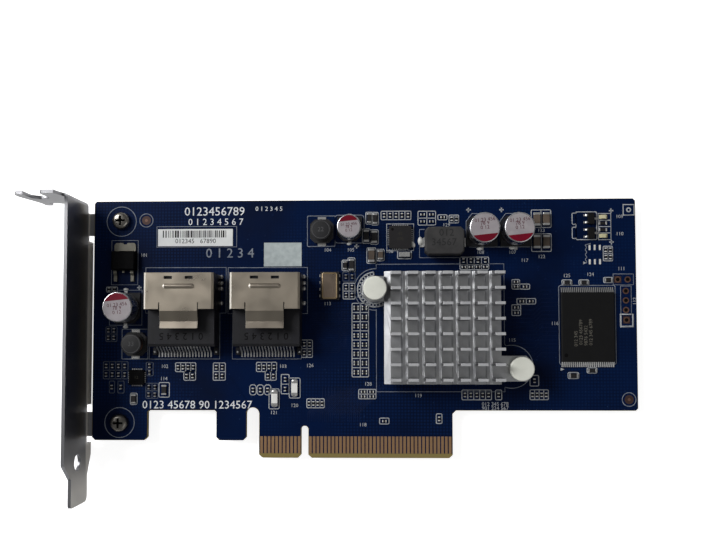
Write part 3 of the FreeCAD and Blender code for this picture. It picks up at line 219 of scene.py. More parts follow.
def make_floor():
    """A white floor that stays white to the eye, keeps a faint shadow and is clear from below."""
    mesh = bpy.data.meshes.new("floor")
    corners = [(x, y, 0) for x, y in ((-1, -1), (1, -1), (1, 1), (-1, 1))]
    mesh.from_pydata([Vector(corner) * FLOOR_HALF for corner in corners], [], [(0, 1, 2, 3)])
    floor = put_in_scene("floor", mesh)
    material = bpy.data.materials.new("white_floor")
    material.use_nodes = True
    tree = material.node_tree
    tree.nodes.clear()
    path = add_node(tree, "ShaderNodeLightPath")
    shape = add_node(tree, "ShaderNodeNewGeometry")
    matte = add_node(tree, "ShaderNodeBsdfDiffuse", {"Color": grey(FLOOR_GREY)})
    strength = calc(tree, "MULTIPLY", path.outputs["Is Camera Ray"], FLOOR_GLOW)
    glow = add_node(tree, "ShaderNodeEmission", {"Strength": strength})
    lit = add_node(tree, "ShaderNodeAddShader", {0: matte.outputs[0], 1: glow.outputs[0]})
    clear = add_node(tree, "ShaderNodeBsdfTransparent")
    sides = {0: shape.outputs["Backfacing"], 1: lit.outputs[0], 2: clear.outputs[0]}
    either = add_node(tree, "ShaderNodeMixShader", sides)
    add_node(tree, "ShaderNodeOutputMaterial", {"Surface": either.outputs[0]})
    mesh.materials.append(material)


# Shared surface effects, each a value from 0 to 1
def start_effect(name, *inputs):
    tree, given = start_group(name, "ShaderNodeTree", inputs, NUMBER)
    return tree, given, add_node(tree, "ShaderNodeTexCoord").outputs["Object"]


def make_mottle():
    """Soft patches."""
    tree, given, where = start_effect("mottle", ("Size", NUMBER))
    noise = add_node(tree, "ShaderNodeTexNoise", {"Vector": where, "Scale": given["Size"], "Detail": 4})
    end_group(tree, ramp(tree, noise.outputs["Fac"], 0.35, 0.65))


def make_grain():
    """Fine relief, drawn out along an axis by the stretch."""
    tree, given, where = start_effect("grain", ("Size", NUMBER), ("Stretch", "NodeSocketVector"))
    drawn = add_node(tree, "ShaderNodeMapping", {"Vector": where, "Scale": given["Stretch"]}).outputs[0]
    noise = add_node(tree, "ShaderNodeTexNoise", {"Vector": drawn, "Scale": given["Size"], "Detail": 2})
    end_group(tree, noise.outputs["Fac"])


def make_dots(name, reach, cover, randomness, dimensions, patch=None):
    """Dots that show in patches; patches without a size of their own follow the dots."""
    tree, given, where = start_effect(name, ("Size", NUMBER))
    spread = {"Vector": where, "Scale": given["Size"], "Randomness": randomness}
    dots = add_node(tree, "ShaderNodeTexVoronoi", spread, voronoi_dimensions=dimensions)
    patches = add_node(tree, "ShaderNodeTexNoise", {"Vector": where, "Scale": patch or given["Size"]})
    near = ramp(tree, dots.outputs["Distance"], *reach)
    shown = ramp(tree, patches.outputs["Fac"], *cover)
    end_group(tree, calc(tree, "MULTIPLY", near, shown))


def put_effect(tree, name, **values):
    return add_node(tree, "ShaderNodeGroup", values, node_tree=bpy.data.node_groups[name]).outputs[0]


# Finishes, with colours from 0 to 255 and grain as fineness, stretch and strength
EVEN = (1.0, 1.0, 1.0)
FINE = (9000.0, EVEN, 0.12)
SMOOTH = (3000.0, EVEN, 0.04)
RELIEF = 0.02 * MM


def finish(name, light, dark, rough, metal=0.0, specular=0.5, patch=250.0, grain=FINE, vary=0.07):
    """A material with patches of two colours, roughness that follows them and a fine relief."""
    material = bpy.data.materials.new(name)
    material.use_nodes = True
    tree = material.node_tree
    mask = put_effect(tree, "mottle", Size=patch)
    size, stretch, strength = grain
    height = put_effect(tree, "grain", Size=size, Stretch=stretch)
    bump = add_node(tree, "ShaderNodeBump", {"Strength": strength, "Distance": RELIEF, "Height": height})
    surface = {"Metallic": metal, "Specular IOR Level": specular, "Normal": bump.outputs["Normal"]}
    surface["Base Color"] = blend_colours(tree, mask, paint(*light), paint(*dark))
    surface["Roughness"] = ramp(tree, mask, 0.0, 1.0, rough - vary, rough + vary)
    feed(tree, tree.nodes["Principled BSDF"], surface)
    return material


def colour_over(material, mask, colour):
    """Lay another colour over a finished material by a mask."""
    tree = material.node_tree
    shader = tree.nodes["Principled BSDF"]
    under = shader.inputs["Base Color"].links[0].from_socket
    feed(tree, shader, {"Base Color": blend_colours(tree, mask, under, paint(*colour))})


def metal_over(material, mask, metal):
    """Lower the metal of a finished material by a mask."""
    tree = material.node_tree
    feed(tree, tree.nodes["Principled BSDF"], {"Metallic": ramp(tree, mask, 0.0, 1.0, 1.0, metal)})


def sprinkle(material, effect, size, colour):
    colour_over(material, put_effect(material.node_tree, effect, Size=size), colour)


def colour_faces(material, colour, *tests, metal=None):
    """Give the faces whose normal passes the tests another colour, and less metal if asked."""
    mask = faces_where(material.node_tree, *tests)
    if metal is not None:
        metal_over(material, mask, metal)
    colour_over(material, mask, colour)


def milled_tops(material, height, metal):
    """Painted highlight: less metal on the tops above a height, so that they look lighter than the sides
    below.
    """
    tree = material.node_tree
    soft = 0.05 * MM
    metal_over(material, ramp(tree, place_in(tree)["Z"], height - soft, height + soft), metal)


def pale_low_parts(material, height, end, colour, metal):
    """Painted reflection of the white floor: the bracket's inner face turns paler, with less metal, below the
    board and past the board's lower edge.
    """
    tree = material.node_tree
    place = place_in(tree)
    fades = []
    for axis, limit, soft in (("Z", height, 0.4 * MM), ("Y", end, 5.0 * MM)):
        fades.append(ramp(tree, place[axis], limit - soft, limit + soft, 1.0, 0.0))
    inner = faces_where(tree, ("X", "GREATER_THAN", 0.5))
    mask = calc(tree, "MULTIPLY", inner, calc(tree, "MAXIMUM", *fades))
    metal_over(material, mask, metal)
    colour_over(material, mask, colour)


make_camera()
make_lights()
make_floor()
make_mottle()
make_grain()
make_dots("specks", reach=(0.16, 0.06), cover=(0.52, 0.62), randomness=1.0, dimensions="3D")
make_dots("dot_grid", reach=(0.42, 0.22), cover=(0.42, 0.58), randomness=0.0, dimensions="2D", patch=45.0)

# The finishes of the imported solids, by material slot
BRUSH_X = (0.04, 1.0, 1.0)
BRUSH_Y = (1.0, 0.04, 1.0)
BRUSH_Z = (1.0, 1.0, 0.04)
LOOKS = {
    "board_blue": finish(
        "navy_solder_mask", (5, 24, 61), (4, 17, 45), 0.4, specular=0.06, patch=60.0, grain=SMOOTH
    ),
    "gold_plating": finish(
        "gold_plating", (214, 172, 130), (188, 149, 110), 0.36, metal=0.85,
        grain=(5000.0, BRUSH_Y, 0.2),
    ),
    "plated_steel": finish(
        "plated_steel", (168, 168, 171), (152, 152, 156), 0.32, metal=1.0, patch=90.0,
        grain=(2600.0, BRUSH_Z, 0.03), vary=0.04,
    ),
    "screw_steel": finish("screw_steel", (158, 154, 147), (116, 113, 108), 0.26, metal=1.0),
    "port_metal": finish(
        "satin_nickel", (202, 191, 174), (186, 175, 159), 0.34, metal=1.0, patch=150.0,
        grain=(3500.0, BRUSH_Y, 0.08),
    ),
    "black_plastic": finish("moulded_black", (31, 31, 36), (24, 24, 28), 0.5, specular=0.3),
    "tin_plating": finish("tin_plating", (218, 218, 216), (184, 184, 184), 0.32, metal=0.8),
    "chip_black": finish("moulded_epoxy", (20, 20, 21), (14, 14, 15), 0.5, specular=0.22),
    "sink_aluminium": finish(
        "extruded_aluminium", (214, 215, 216), (190, 191, 194), 0.36, metal=1.0,
        grain=(3000.0, BRUSH_X, 0.25),
    ),
    "pad_grey": finish("soft_grey_pad", (168, 168, 172), (150, 150, 154), 0.8),
    "white_nylon": finish("white_nylon", (238, 239, 228), (227, 228, 217), 0.42, grain=SMOOTH),
    "ferrite": finish(
        "ground_ferrite", (57, 56, 56), (44, 43, 44), 0.62, grain=(7000.0, EVEN, 0.3)
    ),
    "copper_wire": finish("enamelled_copper", (58, 38, 26), (42, 28, 19), 0.36, metal=1.0),
    "can_aluminium": finish(
        "satin_can", (218, 218, 220), (198, 198, 201), 0.26, metal=1.0, grain=(4000.0, BRUSH_Z, 0.1)
    ),
    "lid_metal": finish("oscillator_lid", (168, 152, 136), (148, 132, 118), 0.34, metal=1.0),
    "ceramic_brown": finish("brown_ceramic", (100, 88, 78), (80, 70, 62), 0.5, specular=0.3),
    "ceramic_white": finish("white_ceramic", (248, 248, 244), (236, 236, 232), 0.4, grain=SMOOTH),
    "lamp_clear": finish("clear_lamp", (220, 214, 178), (204, 198, 160), 0.25, grain=SMOOTH),
    "label_paper": finish("label_paper", (238, 239, 238), (226, 228, 228), 0.62),
}

# Painted light and shade by place and by the way a face looks: a painted highlight on the sink tops, a
# painted reflection of the floor on the low bracket parts, painted shade on the sink sides and on the port
# walls and slopes, a painted highlight on the port bends that lean left, and the laminate colour of the
# board's cut edges
SINK_TOPS = card(0, 0, 11.85).z
UNDER_BOARD = card(0, 0, -0.4).z
PAST_CONTACTS = card(0, -3.0).y
UPWARD = ("Z", "GREATER_THAN", 0.2)
# Painted highlight on the sink's fin tops
milled_tops(LOOKS["sink_aluminium"], SINK_TOPS, metal=0.35)
# Painted reflection of the floor on the bracket's inner face
pale_low_parts(LOOKS["plated_steel"], UNDER_BOARD, PAST_CONTACTS, (238, 234, 228), metal=0.15)
# Painted shade: the sink's upright sides darker than its tops and floors
colour_faces(LOOKS["sink_aluminium"], (150, 150, 153), *between("Z", -0.5, 0.5))
# Painted shade: the port shells' upright walls and their slopes darker, by the way each faces
colour_faces(LOOKS["port_metal"], (96, 90, 82), *between("Z", -0.2, 0.2))
colour_faces(LOOKS["port_metal"], (152, 143, 131), *between("Y", 0.04, 0.9), UPWARD)
colour_faces(LOOKS["port_metal"], (168, 159, 145), *between("Y", -0.95, -0.15), UPWARD)
# Painted highlight: the port shells' upward faces that lean left turn pale and less metal
colour_faces(LOOKS["port_metal"], (250, 244, 232), ("X", "LESS_THAN", -0.2), UPWARD, metal=0.2)
sprinkle(LOOKS["board_blue"], "dot_grid", 1180.0, (8, 31, 70))
sprinkle(LOOKS["board_blue"], "specks", 700.0, (30, 50, 86))
colour_faces(LOOKS["board_blue"], (148, 132, 82), *between("Z", -0.97, 0.97))
sprinkle(LOOKS["black_plastic"], "specks", 900.0, (58, 58, 64))


# The finishes of printing and small parts
def ink(name, light, dark, rough=0.6, patch=900.0):
    return finish(name, light, dark, rough, specular=0.2, patch=patch)


def smooth(name, light, dark, rough, specular=0.2):
    return finish(name, light, dark, rough, specular=specular, grain=SMOOTH)


INK = ink("white_ink", (190, 193, 196), (164, 167, 171))
BRIGHT_INK = ink("bright_white_ink", (236, 238, 240), (218, 221, 224))
THIN_INK = ink("thin_white_ink", (142, 148, 158), (118, 125, 137))
DIM_INK = ink("dim_white_ink", (84, 91, 104), (68, 75, 89))
PALE_FIELD = ink("writing_field", (192, 201, 201), (174, 184, 185), 0.65, 700.0)
CRIMSON = smooth("crimson_film", (120, 9, 36), (104, 6, 30), 0.42)
PRINT_RED = smooth("dull_red_print", (86, 18, 40), (70, 12, 32), 0.5)
PRINT_BLACK = smooth("black_print", (40, 40, 42), (30, 30, 32), 0.6)
TRACE = smooth("trace_under_mask", (8, 28, 67), (6, 20, 50), 0.38, 0.08)
SHADE = smooth("hole_shade", (10, 9, 10), (6, 6, 7), 0.8, 0.1)
RING_MARK = smooth("ground_ring", (88, 88, 90), (72, 72, 74), 0.6)
LASER = smooth("laser_mark", (112, 109, 101), (94, 91, 84), 0.7, 0.1)
FAINT_LASER = smooth("faint_laser_mark", (62, 60, 54), (50, 48, 43), 0.7, 0.1)
FILM_WHITE = finish(
    "white_can_film", (168, 162, 165), (156, 150, 154), 0.45, specular=0.25, patch=400.0
)
BARE_COPPER = finish("dull_bare_copper", (122, 92, 80), (98, 72, 62), 0.45, metal=0.6)
DARK_COPPER = finish("shaded_copper", (74, 54, 50), (56, 41, 38), 0.5, metal=0.5)
DRUM = finish(
    "drum_ferrite", (40, 40, 42), (30, 30, 32), 0.5, specular=0.35, grain=(7000.0, EVEN, 0.2)
)
CHIP_BODY = finish("small_chip_body", (36, 34, 36), (27, 26, 28), 0.5, specular=0.3)
LID_EDGE = finish("lid_seam", (176, 154, 116), (152, 130, 96), 0.35, metal=0.7, patch=600.0)
# Black epoxy darkened further as painted shade, for the bodies that lie in the bracket's shadow
SHADOWED_BLACK = finish("black_epoxy_with_painted_shade", (8, 8, 10), (5, 5, 7), 0.6, specular=0.05)
DULL_TIN = finish("dull_tin", (134, 131, 121), (112, 110, 101), 0.4, metal=0.9)
SOLDER = finish("bright_solder", (218, 218, 216), (190, 190, 189), 0.26, metal=0.7, patch=900.0)
PALE_TIN = finish("levelled_tin", (226, 226, 222), (206, 206, 203), 0.4, specular=0.6, patch=900.0)

# The slot that each finish belongs to, gathered in a table
EXTRA_FINISHES = {
    "label_paper": [INK, BRIGHT_INK, THIN_INK, DIM_INK, PALE_FIELD, PRINT_BLACK],
    "can_aluminium": [CRIMSON, PRINT_RED, FILM_WHITE],
    "board_blue": [TRACE],
    "ferrite": [DRUM, RING_MARK],
    "chip_black": [LASER, FAINT_LASER],
    "gold_plating": [BARE_COPPER, DARK_COPPER],
    "ceramic_brown": [CHIP_BODY],
    "lid_metal": [LID_EDGE],
    "tin_plating": [SOLDER, PALE_TIN],
}
FINISH_SLOTS = {material.name: slot for slot, material in LOOKS.items()}
for slot, materials in EXTRA_FINISHES.items():
    FINISH_SLOTS.update({material.name: slot for material in materials})

NODE_SLOTS = {part["node"]: part["material_slot"] for part in frame["record"]["subparts"]}
OWN_LOOKS = {
    "drum_inductor_upper_base": DRUM,
    "drum_inductor_lower_base": DRUM,
    "dark_chips": CHIP_BODY,
    "oscillator_base": CHIP_BODY,
    "regulator_chip": CHIP_BODY,
    # Painted shade: the bodies in the bracket's shadow take the darker epoxy
    "power_transistor": SHADOWED_BLACK,
    "small_controller_chip": SHADOWED_BLACK,
    "power_transistor_tab": DULL_TIN,
}
for name, node in nodes.items():
    node.data.materials.clear()
    node.data.materials.append(OWN_LOOKS.get(name, LOOKS[NODE_SLOTS[name]]))

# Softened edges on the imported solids, by width in millimetres
SOFT_EDGES = {
    0.05: ["power_transistor_tab", "flash_chip", "dark_chips", "chip_fuses", "status_leds"],
    0.06: [
        "regulator_chip", "small_controller_chip", "oscillator_base", "ceramic_capacitors",
        "chip_terminations", "signal_transistors",
    ],
    0.07: ["mounting_bracket", "heat_sink"],
    0.08: ["port_a_housing", "port_b_housing", "power_transistor", "oscillator_lid"],
    0.1: ["circuit_board"],
    0.12: ["power_inductor"],
    0.14: ["port_a_shell", "port_b_shell"],
}
SOFT_FROM_ANGLE = 40
JOIN_FACETS = 0.002
for width, names in SOFT_EDGES.items():
    for name in names:
        weld = nodes[name].modifiers.new("join_facets", "WELD")
        weld.merge_threshold = JOIN_FACETS * MM
        bevel = nodes[name].modifiers.new("soft_edges", "BEVEL")
        bevel.width = width * MM
        bevel.segments = 2
        bevel.limit_method = "ANGLE"
        bevel.angle_limit = math.radians(SOFT_FROM_ANGLE)


# Making pieces
def add_piece(name, mesh, stands_for=()):
    """A finished piece that rides with the card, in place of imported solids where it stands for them."""
    piece = put_in_scene(name, mesh)
    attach(piece, "root")
    if stands_for:
        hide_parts(*stands_for)


def smooth_up_to(mesh, crease):
    """Shade a mesh smooth, with sharp edges past the crease angle in degrees."""
    mesh.shade_smooth()
    mesh.set_sharp_from_angle(angle=math.radians(crease))


def close_mesh(name, shape, material, crease=None):
    """Turn a finished shape into a mesh, shaded smooth up to the crease angle if one is given."""
    bmesh.ops.recalc_face_normals(shape, faces=shape.faces)
    mesh = bpy.data.meshes.new(name)
    shape.to_mesh(mesh)
    shape.free()
    if material:
        mesh.materials.append(material)
    if crease:
        smooth_up_to(mesh, crease)
    return mesh


def add_shape(name, shape, material, stands_for=(), crease=None):
    add_piece(name, close_mesh(name, shape, material, crease), stands_for)


def set_field(mesh, name, kind, values):
    field = mesh.attributes.new(name, kind, "POINT")
    flat = values if kind == "FLOAT" else [number for value in values for number in value]
    field.data.foreach_set("value" if kind == "FLOAT" else "vector", flat)


def evaluated(name, thing):
    """A plain mesh of a helper object as its modifiers leave it; the helper is removed."""
    bpy.context.view_layer.update()
    graph = bpy.context.evaluated_depsgraph_get()
    result = bpy.data.meshes.new_from_object(thing.evaluated_get(graph))
    result.name = name
    bpy.data.objects.remove(thing)
    return result


def grown(name, mesh, tree, settings):
    """Run a node tree on a start mesh and keep the result as a plain mesh."""
    seed = put_in_scene(name + "_start", mesh)
    modifier = seed.modifiers.new("grow", "NODES")
    modifier.node_group = tree
    for item in tree.interface.items_tree:
        if item.in_out == "INPUT" and item.name in settings:
            modifier[item.identifier] = settings[item.name]
    seed.update_tag()
    return evaluated(name, seed)


# Geometry node trees for what repeats
def start_tree(name, start, *inputs):
    ends = [(start, GEOMETRY), ("Finish", "NodeSocketMaterial")]
    return start_group(name, "GeometryNodeTree", [*ends, *inputs], GEOMETRY)


def end_tree(tree, given, geometry):
    """Every tree ends in plain faces with the finish set on them."""
    real = add_node(tree, "GeometryNodeRealizeInstances", {0: geometry}).outputs[0]
    look = add_node(tree, "GeometryNodeSetMaterial", {0: real, "Material": given["Finish"]})
    end_group(tree, look.outputs[0])
    return tree


def named_field(tree, name, kind):
    node = add_node(tree, "GeometryNodeInputNamedAttribute", {"Name": name}, data_type=kind)
    return node.outputs["Attribute"]


def sweep(tree, path, section):
    ends = {"Curve": path, "Profile Curve": section.outputs[0], "Fill Caps": True}
    return add_node(tree, "GeometryNodeCurveToMesh", ends).outputs[0]


def make_ribbon_tree():
    """Flat ribbons along paths, with corners as wide as the runs."""
    tree, given = start_tree("flat_ribbon", "Paths", ("Line Width", NUMBER), ("Line Height", NUMBER))
    path = add_node(tree, "GeometryNodeMeshToCurve", {0: given["Paths"]}).outputs[0]
    flat = add_node(tree, "GeometryNodeSetCurveNormal", {0: path}, mode="Z_UP").outputs[0]
    corner = named_field(tree, "corner", "FLOAT")
    widened = add_node(tree, "GeometryNodeSetCurveRadius", {0: flat, "Radius": corner}).outputs[0]
    size = {"Width": given["Line Width"], "Height": given["Line Height"]}
    section = add_node(tree, "GeometryNodeCurvePrimitiveQuadrilateral", size)
    return end_tree(tree, given, sweep(tree, widened, section))


def make_wire_tree():
    """Round wire along paths."""
    tree, given = start_tree("round_wire", "Paths", ("Wire Radius", NUMBER))
    path = add_node(tree, "GeometryNodeMeshToCurve", {0: given["Paths"]}).outputs[0]
    size = {"Resolution": 8, "Radius": given["Wire Radius"]}
    section = add_node(tree, "GeometryNodeCurvePrimitiveCircle", size)
    return end_tree(tree, given, sweep(tree, path, section))


def make_scatter_tree():
    """One part set down at every spot, turned and stretched by the spot's own values."""
    tree, given = start_tree("set_down", "Spots", ("Part", "NodeSocketObject"))
    part = add_node(tree, "GeometryNodeObjectInfo", {"Object": given["Part"]}).outputs["Geometry"]
    angles = named_field(tree, "turn", "FLOAT_VECTOR")
    turn = add_node(tree, "FunctionNodeEulerToRotation", {0: angles}).outputs[0]
    stretch = named_field(tree, "stretch", "FLOAT_VECTOR")
    ends = {"Points": given["Spots"], "Instance": part, "Rotation": turn, "Scale": stretch}
    return end_tree(tree, given, add_node(tree, "GeometryNodeInstanceOnPoints", ends).outputs[0])


RIBBON = make_ribbon_tree()
WIRE = make_wire_tree()
SCATTER = make_scatter_tree()
SHARPEST = 0.4


def corner_widths(points, closes):
    """How much wider a ribbon must be at each point for its runs to keep their width."""
    count = len(points)
    widths = []
    for i, point in enumerate(points):
        if not closes and i in (0, count - 1):
            widths.append(1.0)
            continue
        before = (point - points[i - 1]).normalized()
        after = (points[(i + 1) % count] - point).normalized()
        half = before.angle(after, 0.0) / 2
        widths.append(1.0 / max(math.cos(half), SHARPEST))
    return widths


def path_mesh(name, paths):
    """Paths as chains of edges, each a list of places and whether it closes."""
    verts = []
    edges = []
    corners = []
    for places, closes in paths:
        first = len(verts)
        count = len(places)
        verts += places
        edges += [(first + i, first + i + 1) for i in range(count - 1)]
        if closes:
            edges.append((first + count - 1, first))
        corners += corner_widths(places, closes)
    mesh = bpy.data.meshes.new(name + "_paths")
    mesh.from_pydata(verts, edges, [])
    set_field(mesh, "corner", "FLOAT", corners)
    return mesh


def level(points, z):
    """Card points of an outline, all at one height."""
    return [card(x, y, z) for x, y in points]


PRINT_Z = 0.012


def closed(*outlines):
    return [(points, True) for points in outlines]


def opened(*lines):
    return [(points, False) for points in lines]


def ribbons(name, paths, width, material, z=PRINT_Z, height=0.02):
    """Lay flat lines along paths, each a list of card points and whether it closes."""
    laid = [(level(points, z), closes) for points, closes in paths]
    settings = {"Line Width": width * MM, "Line Height": height * MM, "Finish": material}
    add_piece(name, grown(name, path_mesh(name, laid), RIBBON, settings))


def spot(x, y, z=0.0, stretch=EVEN, turn=0.0):
    """A place for a part, its turn about the card's normal in radians and its stretch."""
    return card(x, y, z), turn, stretch


def scatter(name, spots, part, material, stands_for=()):
    """Set a part down at every spot."""
    mesh = bpy.data.meshes.new(name + "_spots")
    mesh.from_pydata([place for place, turn, stretch in spots], [], [])
    set_field(mesh, "turn", "FLOAT_VECTOR", [(0, 0, turn) for place, turn, stretch in spots])
    set_field(mesh, "stretch", "FLOAT_VECTOR", [stretch for place, turn, stretch in spots])
    helper = put_in_scene(name + "_part", part)
    result = grown(name, mesh, SCATTER, {"Part": helper, "Finish": material})
    bpy.data.objects.remove(helper)
    add_piece(name, result, stands_for)


# Outlines on the card
def arc(x, y, radius, start, stop, steps):
    points = []
    for i in range(steps + 1):
        angle = math.radians(start + (stop - start) * i / steps)
        points.append((x + radius * math.cos(angle), y + radius * math.sin(angle)))
    return points


def ring(x, y, radius, steps=28):
    return arc(x, y, radius, 0, 360, steps)[:-1]


def oblong(x0, x1, y0, y1, round_off=0.0):
    """The outline of a rectangle, with its corners rounded if asked."""
    if not round_off:
        return [(x0, y0), (x1, y0), (x1, y1), (x0, y1)]
    points = []
    middles = [(x1 - round_off, y0 + round_off, -90), (x1 - round_off, y1 - round_off, 0)]
    middles += [(x0 + round_off, y1 - round_off, 90), (x0 + round_off, y0 + round_off, 180)]
    for x, y, start in middles:
        points += arc(x, y, round_off, start, start + 90, 4)
    return points


def around(x, y, half_wide, half_tall, round_off=0.0):
    return oblong(x - half_wide, x + half_wide, y - half_tall, y + half_tall, round_off)


# Shapes
def at_origin(x, y, z):
    return Vector((x, y, z)) * MM


def join_loops(shape, low, high):
    """Faces between two loops of as many points, or between a loop and a pole."""
    count = max(len(low), len(high))
    for i in range(count):
        j = (i + 1) % count
        corners = (low[i % len(low)], low[j % len(low)], high[j % len(high)], high[i % len(high)])
        shape.faces.new(dict.fromkeys(corners))


def add_loft(shape, *outlines):
    """A closed solid through outlines of as many places each."""
    loops = [[shape.verts.new(place) for place in outline] for outline in outlines]
    shape.faces.new(loops[0][::-1])
    shape.faces.new(loops[-1])
    for low, high in zip(loops, loops[1:]):
        join_loops(shape, low, high)


def add_plate(shape, points, z0, z1):
    add_loft(shape, level(points, z0), level(points, z1))


def plates(name, outlines, z0, z1, material):
    """Flat plates from card outlines, between two heights, with closed sides."""
    shape = bmesh.new()
    for points in outlines:
        add_plate(shape, points, z0, z1)
    add_shape(name, shape, material)


def eased_blocks(name, blocks, material, ease):
    """Blocks given by their limits along x, y and z, with eased upper edges."""
    shape = bmesh.new()
    for x0, x1, y0, y1, z0, z1 in blocks:
        foot = oblong(x0, x1, y0, y1)
        crown = oblong(x0 + ease, x1 - ease, y0 + ease, y1 - ease)
        add_loft(shape, level(foot, z0), level(foot, z1 - ease), level(crown, z1))
    add_shape(name, shape, material)


JOIN = 0.001 * MM
TEXT_SIZE = 1.4


def numerals(name, marks, material, deep=0.008):
    """Figures set flat on a surface: text, place of the middle, size and turn in degrees."""
    shape = bmesh.new()
    for body, x, y, z, tall, turn in marks:
        data = bpy.data.curves.new("figure", "FONT")
        data.body = body
        data.align_x = "CENTER"
        data.align_y = "CENTER"
        data.size = tall * TEXT_SIZE * MM
        data.extrude = deep * MM
        data.resolution_u = 2
        figure = evaluated("figure", put_in_scene("figure", data))
        about = Matrix.Rotation(math.radians(turn), 4, "Z")
        figure.transform(Matrix.Translation(card(x, y, z)) @ about)
        shape.from_mesh(figure)
        bpy.data.meshes.remove(figure)
    bmesh.ops.remove_doubles(shape, verts=shape.verts, dist=JOIN)
    for face in shape.faces:
        face.material_index = 0
    add_shape(name, shape, material)


def chip_mesh(name, *, wide, start, stop, tall, ease):
    """A chip section along y with eased upper edges, and its mirror image where it misses the middle."""
    shape = bmesh.new()
    half = wide / 2
    section = [(-half, 0), (half, 0), (half, tall - ease), (half - ease, tall)]
    section += [(ease - half, tall), (-half, tall - ease)]
    spans = [(start, stop)] if start < 0 else [(start, stop), (-stop, -start)]
    for ends in spans:
        add_loft(shape, *[[at_origin(x, y, z) for x, z in section] for y in ends])
    return close_mesh(name, shape, None)


def add_turned(shape, x, y, profile, steps, place=card):
    """A closed solid of revolution: its profile of radius and height goes from pole to pole or in a loop."""
    rings = []
    for radius, z in profile:
        rim = ring(x, y, radius, steps) if radius else [(x, y)]
        rings.append([shape.verts.new(place(px, py, z)) for px, py in rim])
    if profile[0][0]:
        rings.append(rings[0])
    for low, high in zip(rings, rings[1:]):
        join_loops(shape, low, high)


def ring_mesh(name, *, inner, outer, tall, steps):
    """A flat ring about the origin."""
    shape = bmesh.new()
    profile = [(inner, 0), (outer, 0), (outer, tall), (inner, tall)]
    add_turned(shape, 0, 0, profile, steps, at_origin)
    return close_mesh(name, shape, None)


TURNED_STEPS = 56
TURNED_CREASE = 32


def turned(name, x, y, profile, material):
    """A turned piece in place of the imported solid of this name."""
    shape = bmesh.new()
    add_turned(shape, x, y, profile, TURNED_STEPS)
    add_shape(name + "_turned", shape, material, (name,), TURNED_CREASE)


def rounded_rim(radius, top, ease, steps=5):
    """The rounded upper edge of a turned piece, from its wall to its top."""
    return arc(radius - ease, top - ease, ease, 0, 90, steps)


def blob_mesh(name, side=1, steps=12, rise=4):
    """A low dome of unit radius and height for solder joints, standing up or hanging down."""
    shape = bmesh.new()
    profile = [(0, 0)] + arc(0, 0, 1, 0, 90, rise)[:-1] + [(0, 1)]
    add_turned(shape, 0, 0, [(radius, z * side) for radius, z in profile], steps, at_origin)
    return close_mesh(name, shape, None, 60)


# Small chips in their cells: left, right, low, high, columns, rows
UPRIGHT_CELLS = [
    (98.55, 106.2, 51.5, 53.35, 4, 1),
    (98.85, 106.65, 15.45, 18.05, 5, 1),
    (107.7, 109.35, 15.45, 18.05, 1, 1),
    (116.8, 119.1, 19.1, 21.9, 1, 1),
    (116.8, 121.6, 15.5, 18.1, 4, 1),
    (22.45, 27.9, 22.9, 25.3, 4, 1),
    (24.7, 27.85, 20.6, 22.9, 2, 1),
    (32.6, 35.85, 20.6, 25.25, 2, 2),
    (44.2, 49.6, 22.9, 25.4, 4, 1),
    (46.55, 49.5, 20.6, 22.9, 2, 1),
    (50.85, 52.95, 17.0, 22.15, 1, 2),
    (57.7, 62.35, 13.3, 15.7, 4, 1),
    (56.25, 59.15, 26.7, 31.35, 2, 2),
    (92.05, 93.55, 9.2, 11.75, 1, 1),
    (77.55, 85.55, 63.5, 65.8, 5, 1),
    (95.75, 98.3, 62.55, 64.65, 2, 1),
    (67.35, 70.55, 42.25, 46.5, 2, 2),
    (3.5, 6.5, 44.3, 45.7, 2, 1),
    (136.5, 138.94, 52.2, 56.1, 2, 2),
]
LYING_CELLS = [
    (98.55, 106.2, 50.0, 51.4, 4, 1),
    (71.5, 76.1, 15.7, 18.2, 2, 2),
    (112.3, 114.35, 44.8, 47.3, 1, 2),
    (114.4, 117.0, 44.75, 46.1, 1, 1),
    (113.55, 118.55, 40.8, 42.25, 2, 1),
    (112.2, 114.55, 37.75, 40.6, 1, 2),
    (77.05, 79.55, 9.05, 10.6, 1, 1),
    (87.45, 92.15, 62.0, 65.75, 2, 2),
    (92.75, 95.2, 63.4, 64.75, 1, 1),
]
ARRAY = (69.75, 74.15, 21.5, 41.1, 2, 8)
CAPSULES = (42.3, 48.2, 16.7, 19.4, 3, 1)
DIM_CELLS = [
    (2.9, 9.6, 21.0, 25.6, 4, 2),
    (4.6, 6.0, 17.2, 20.4, 1, 1),
    (6.9, 8.6, 17.2, 20.4, 1, 1),
    (14.5, 16.4, 21.8, 25.4, 1, 2),
    (14.5, 17.8, 15.8, 19.8, 2, 2),
    (3.5, 6.5, 31.0, 35.0, 2, 2),
    (67.3, 70.6, 47.0, 49.5, 2, 1),
]


def cell_middles(*blocks):
    """The middle of every cell of the blocks."""
    for left, right, low, high, columns, rows in blocks:
        for column in range(columns):
            for row in range(rows):
                x = left + (right - left) * (column + 0.5) / columns
                yield x, low + (high - low) * (row + 0.5) / rows


CELL_ROUND = 0.3


def cell_lines(*blocks):
    """The blocks' rounded outlines and the lines between their cells."""
    lines = []
    for left, right, low, high, columns, rows in blocks:
        lines += closed(oblong(left, right, low, high, CELL_ROUND))
        for column in range(1, columns):
            x = left + (right - left) * column / columns
            lines += opened([(x, low), (x, high)])
        for row in range(1, rows):
            y = low + (high - low) * row / rows
            lines += opened([(left, y), (right, y)])
    return lines


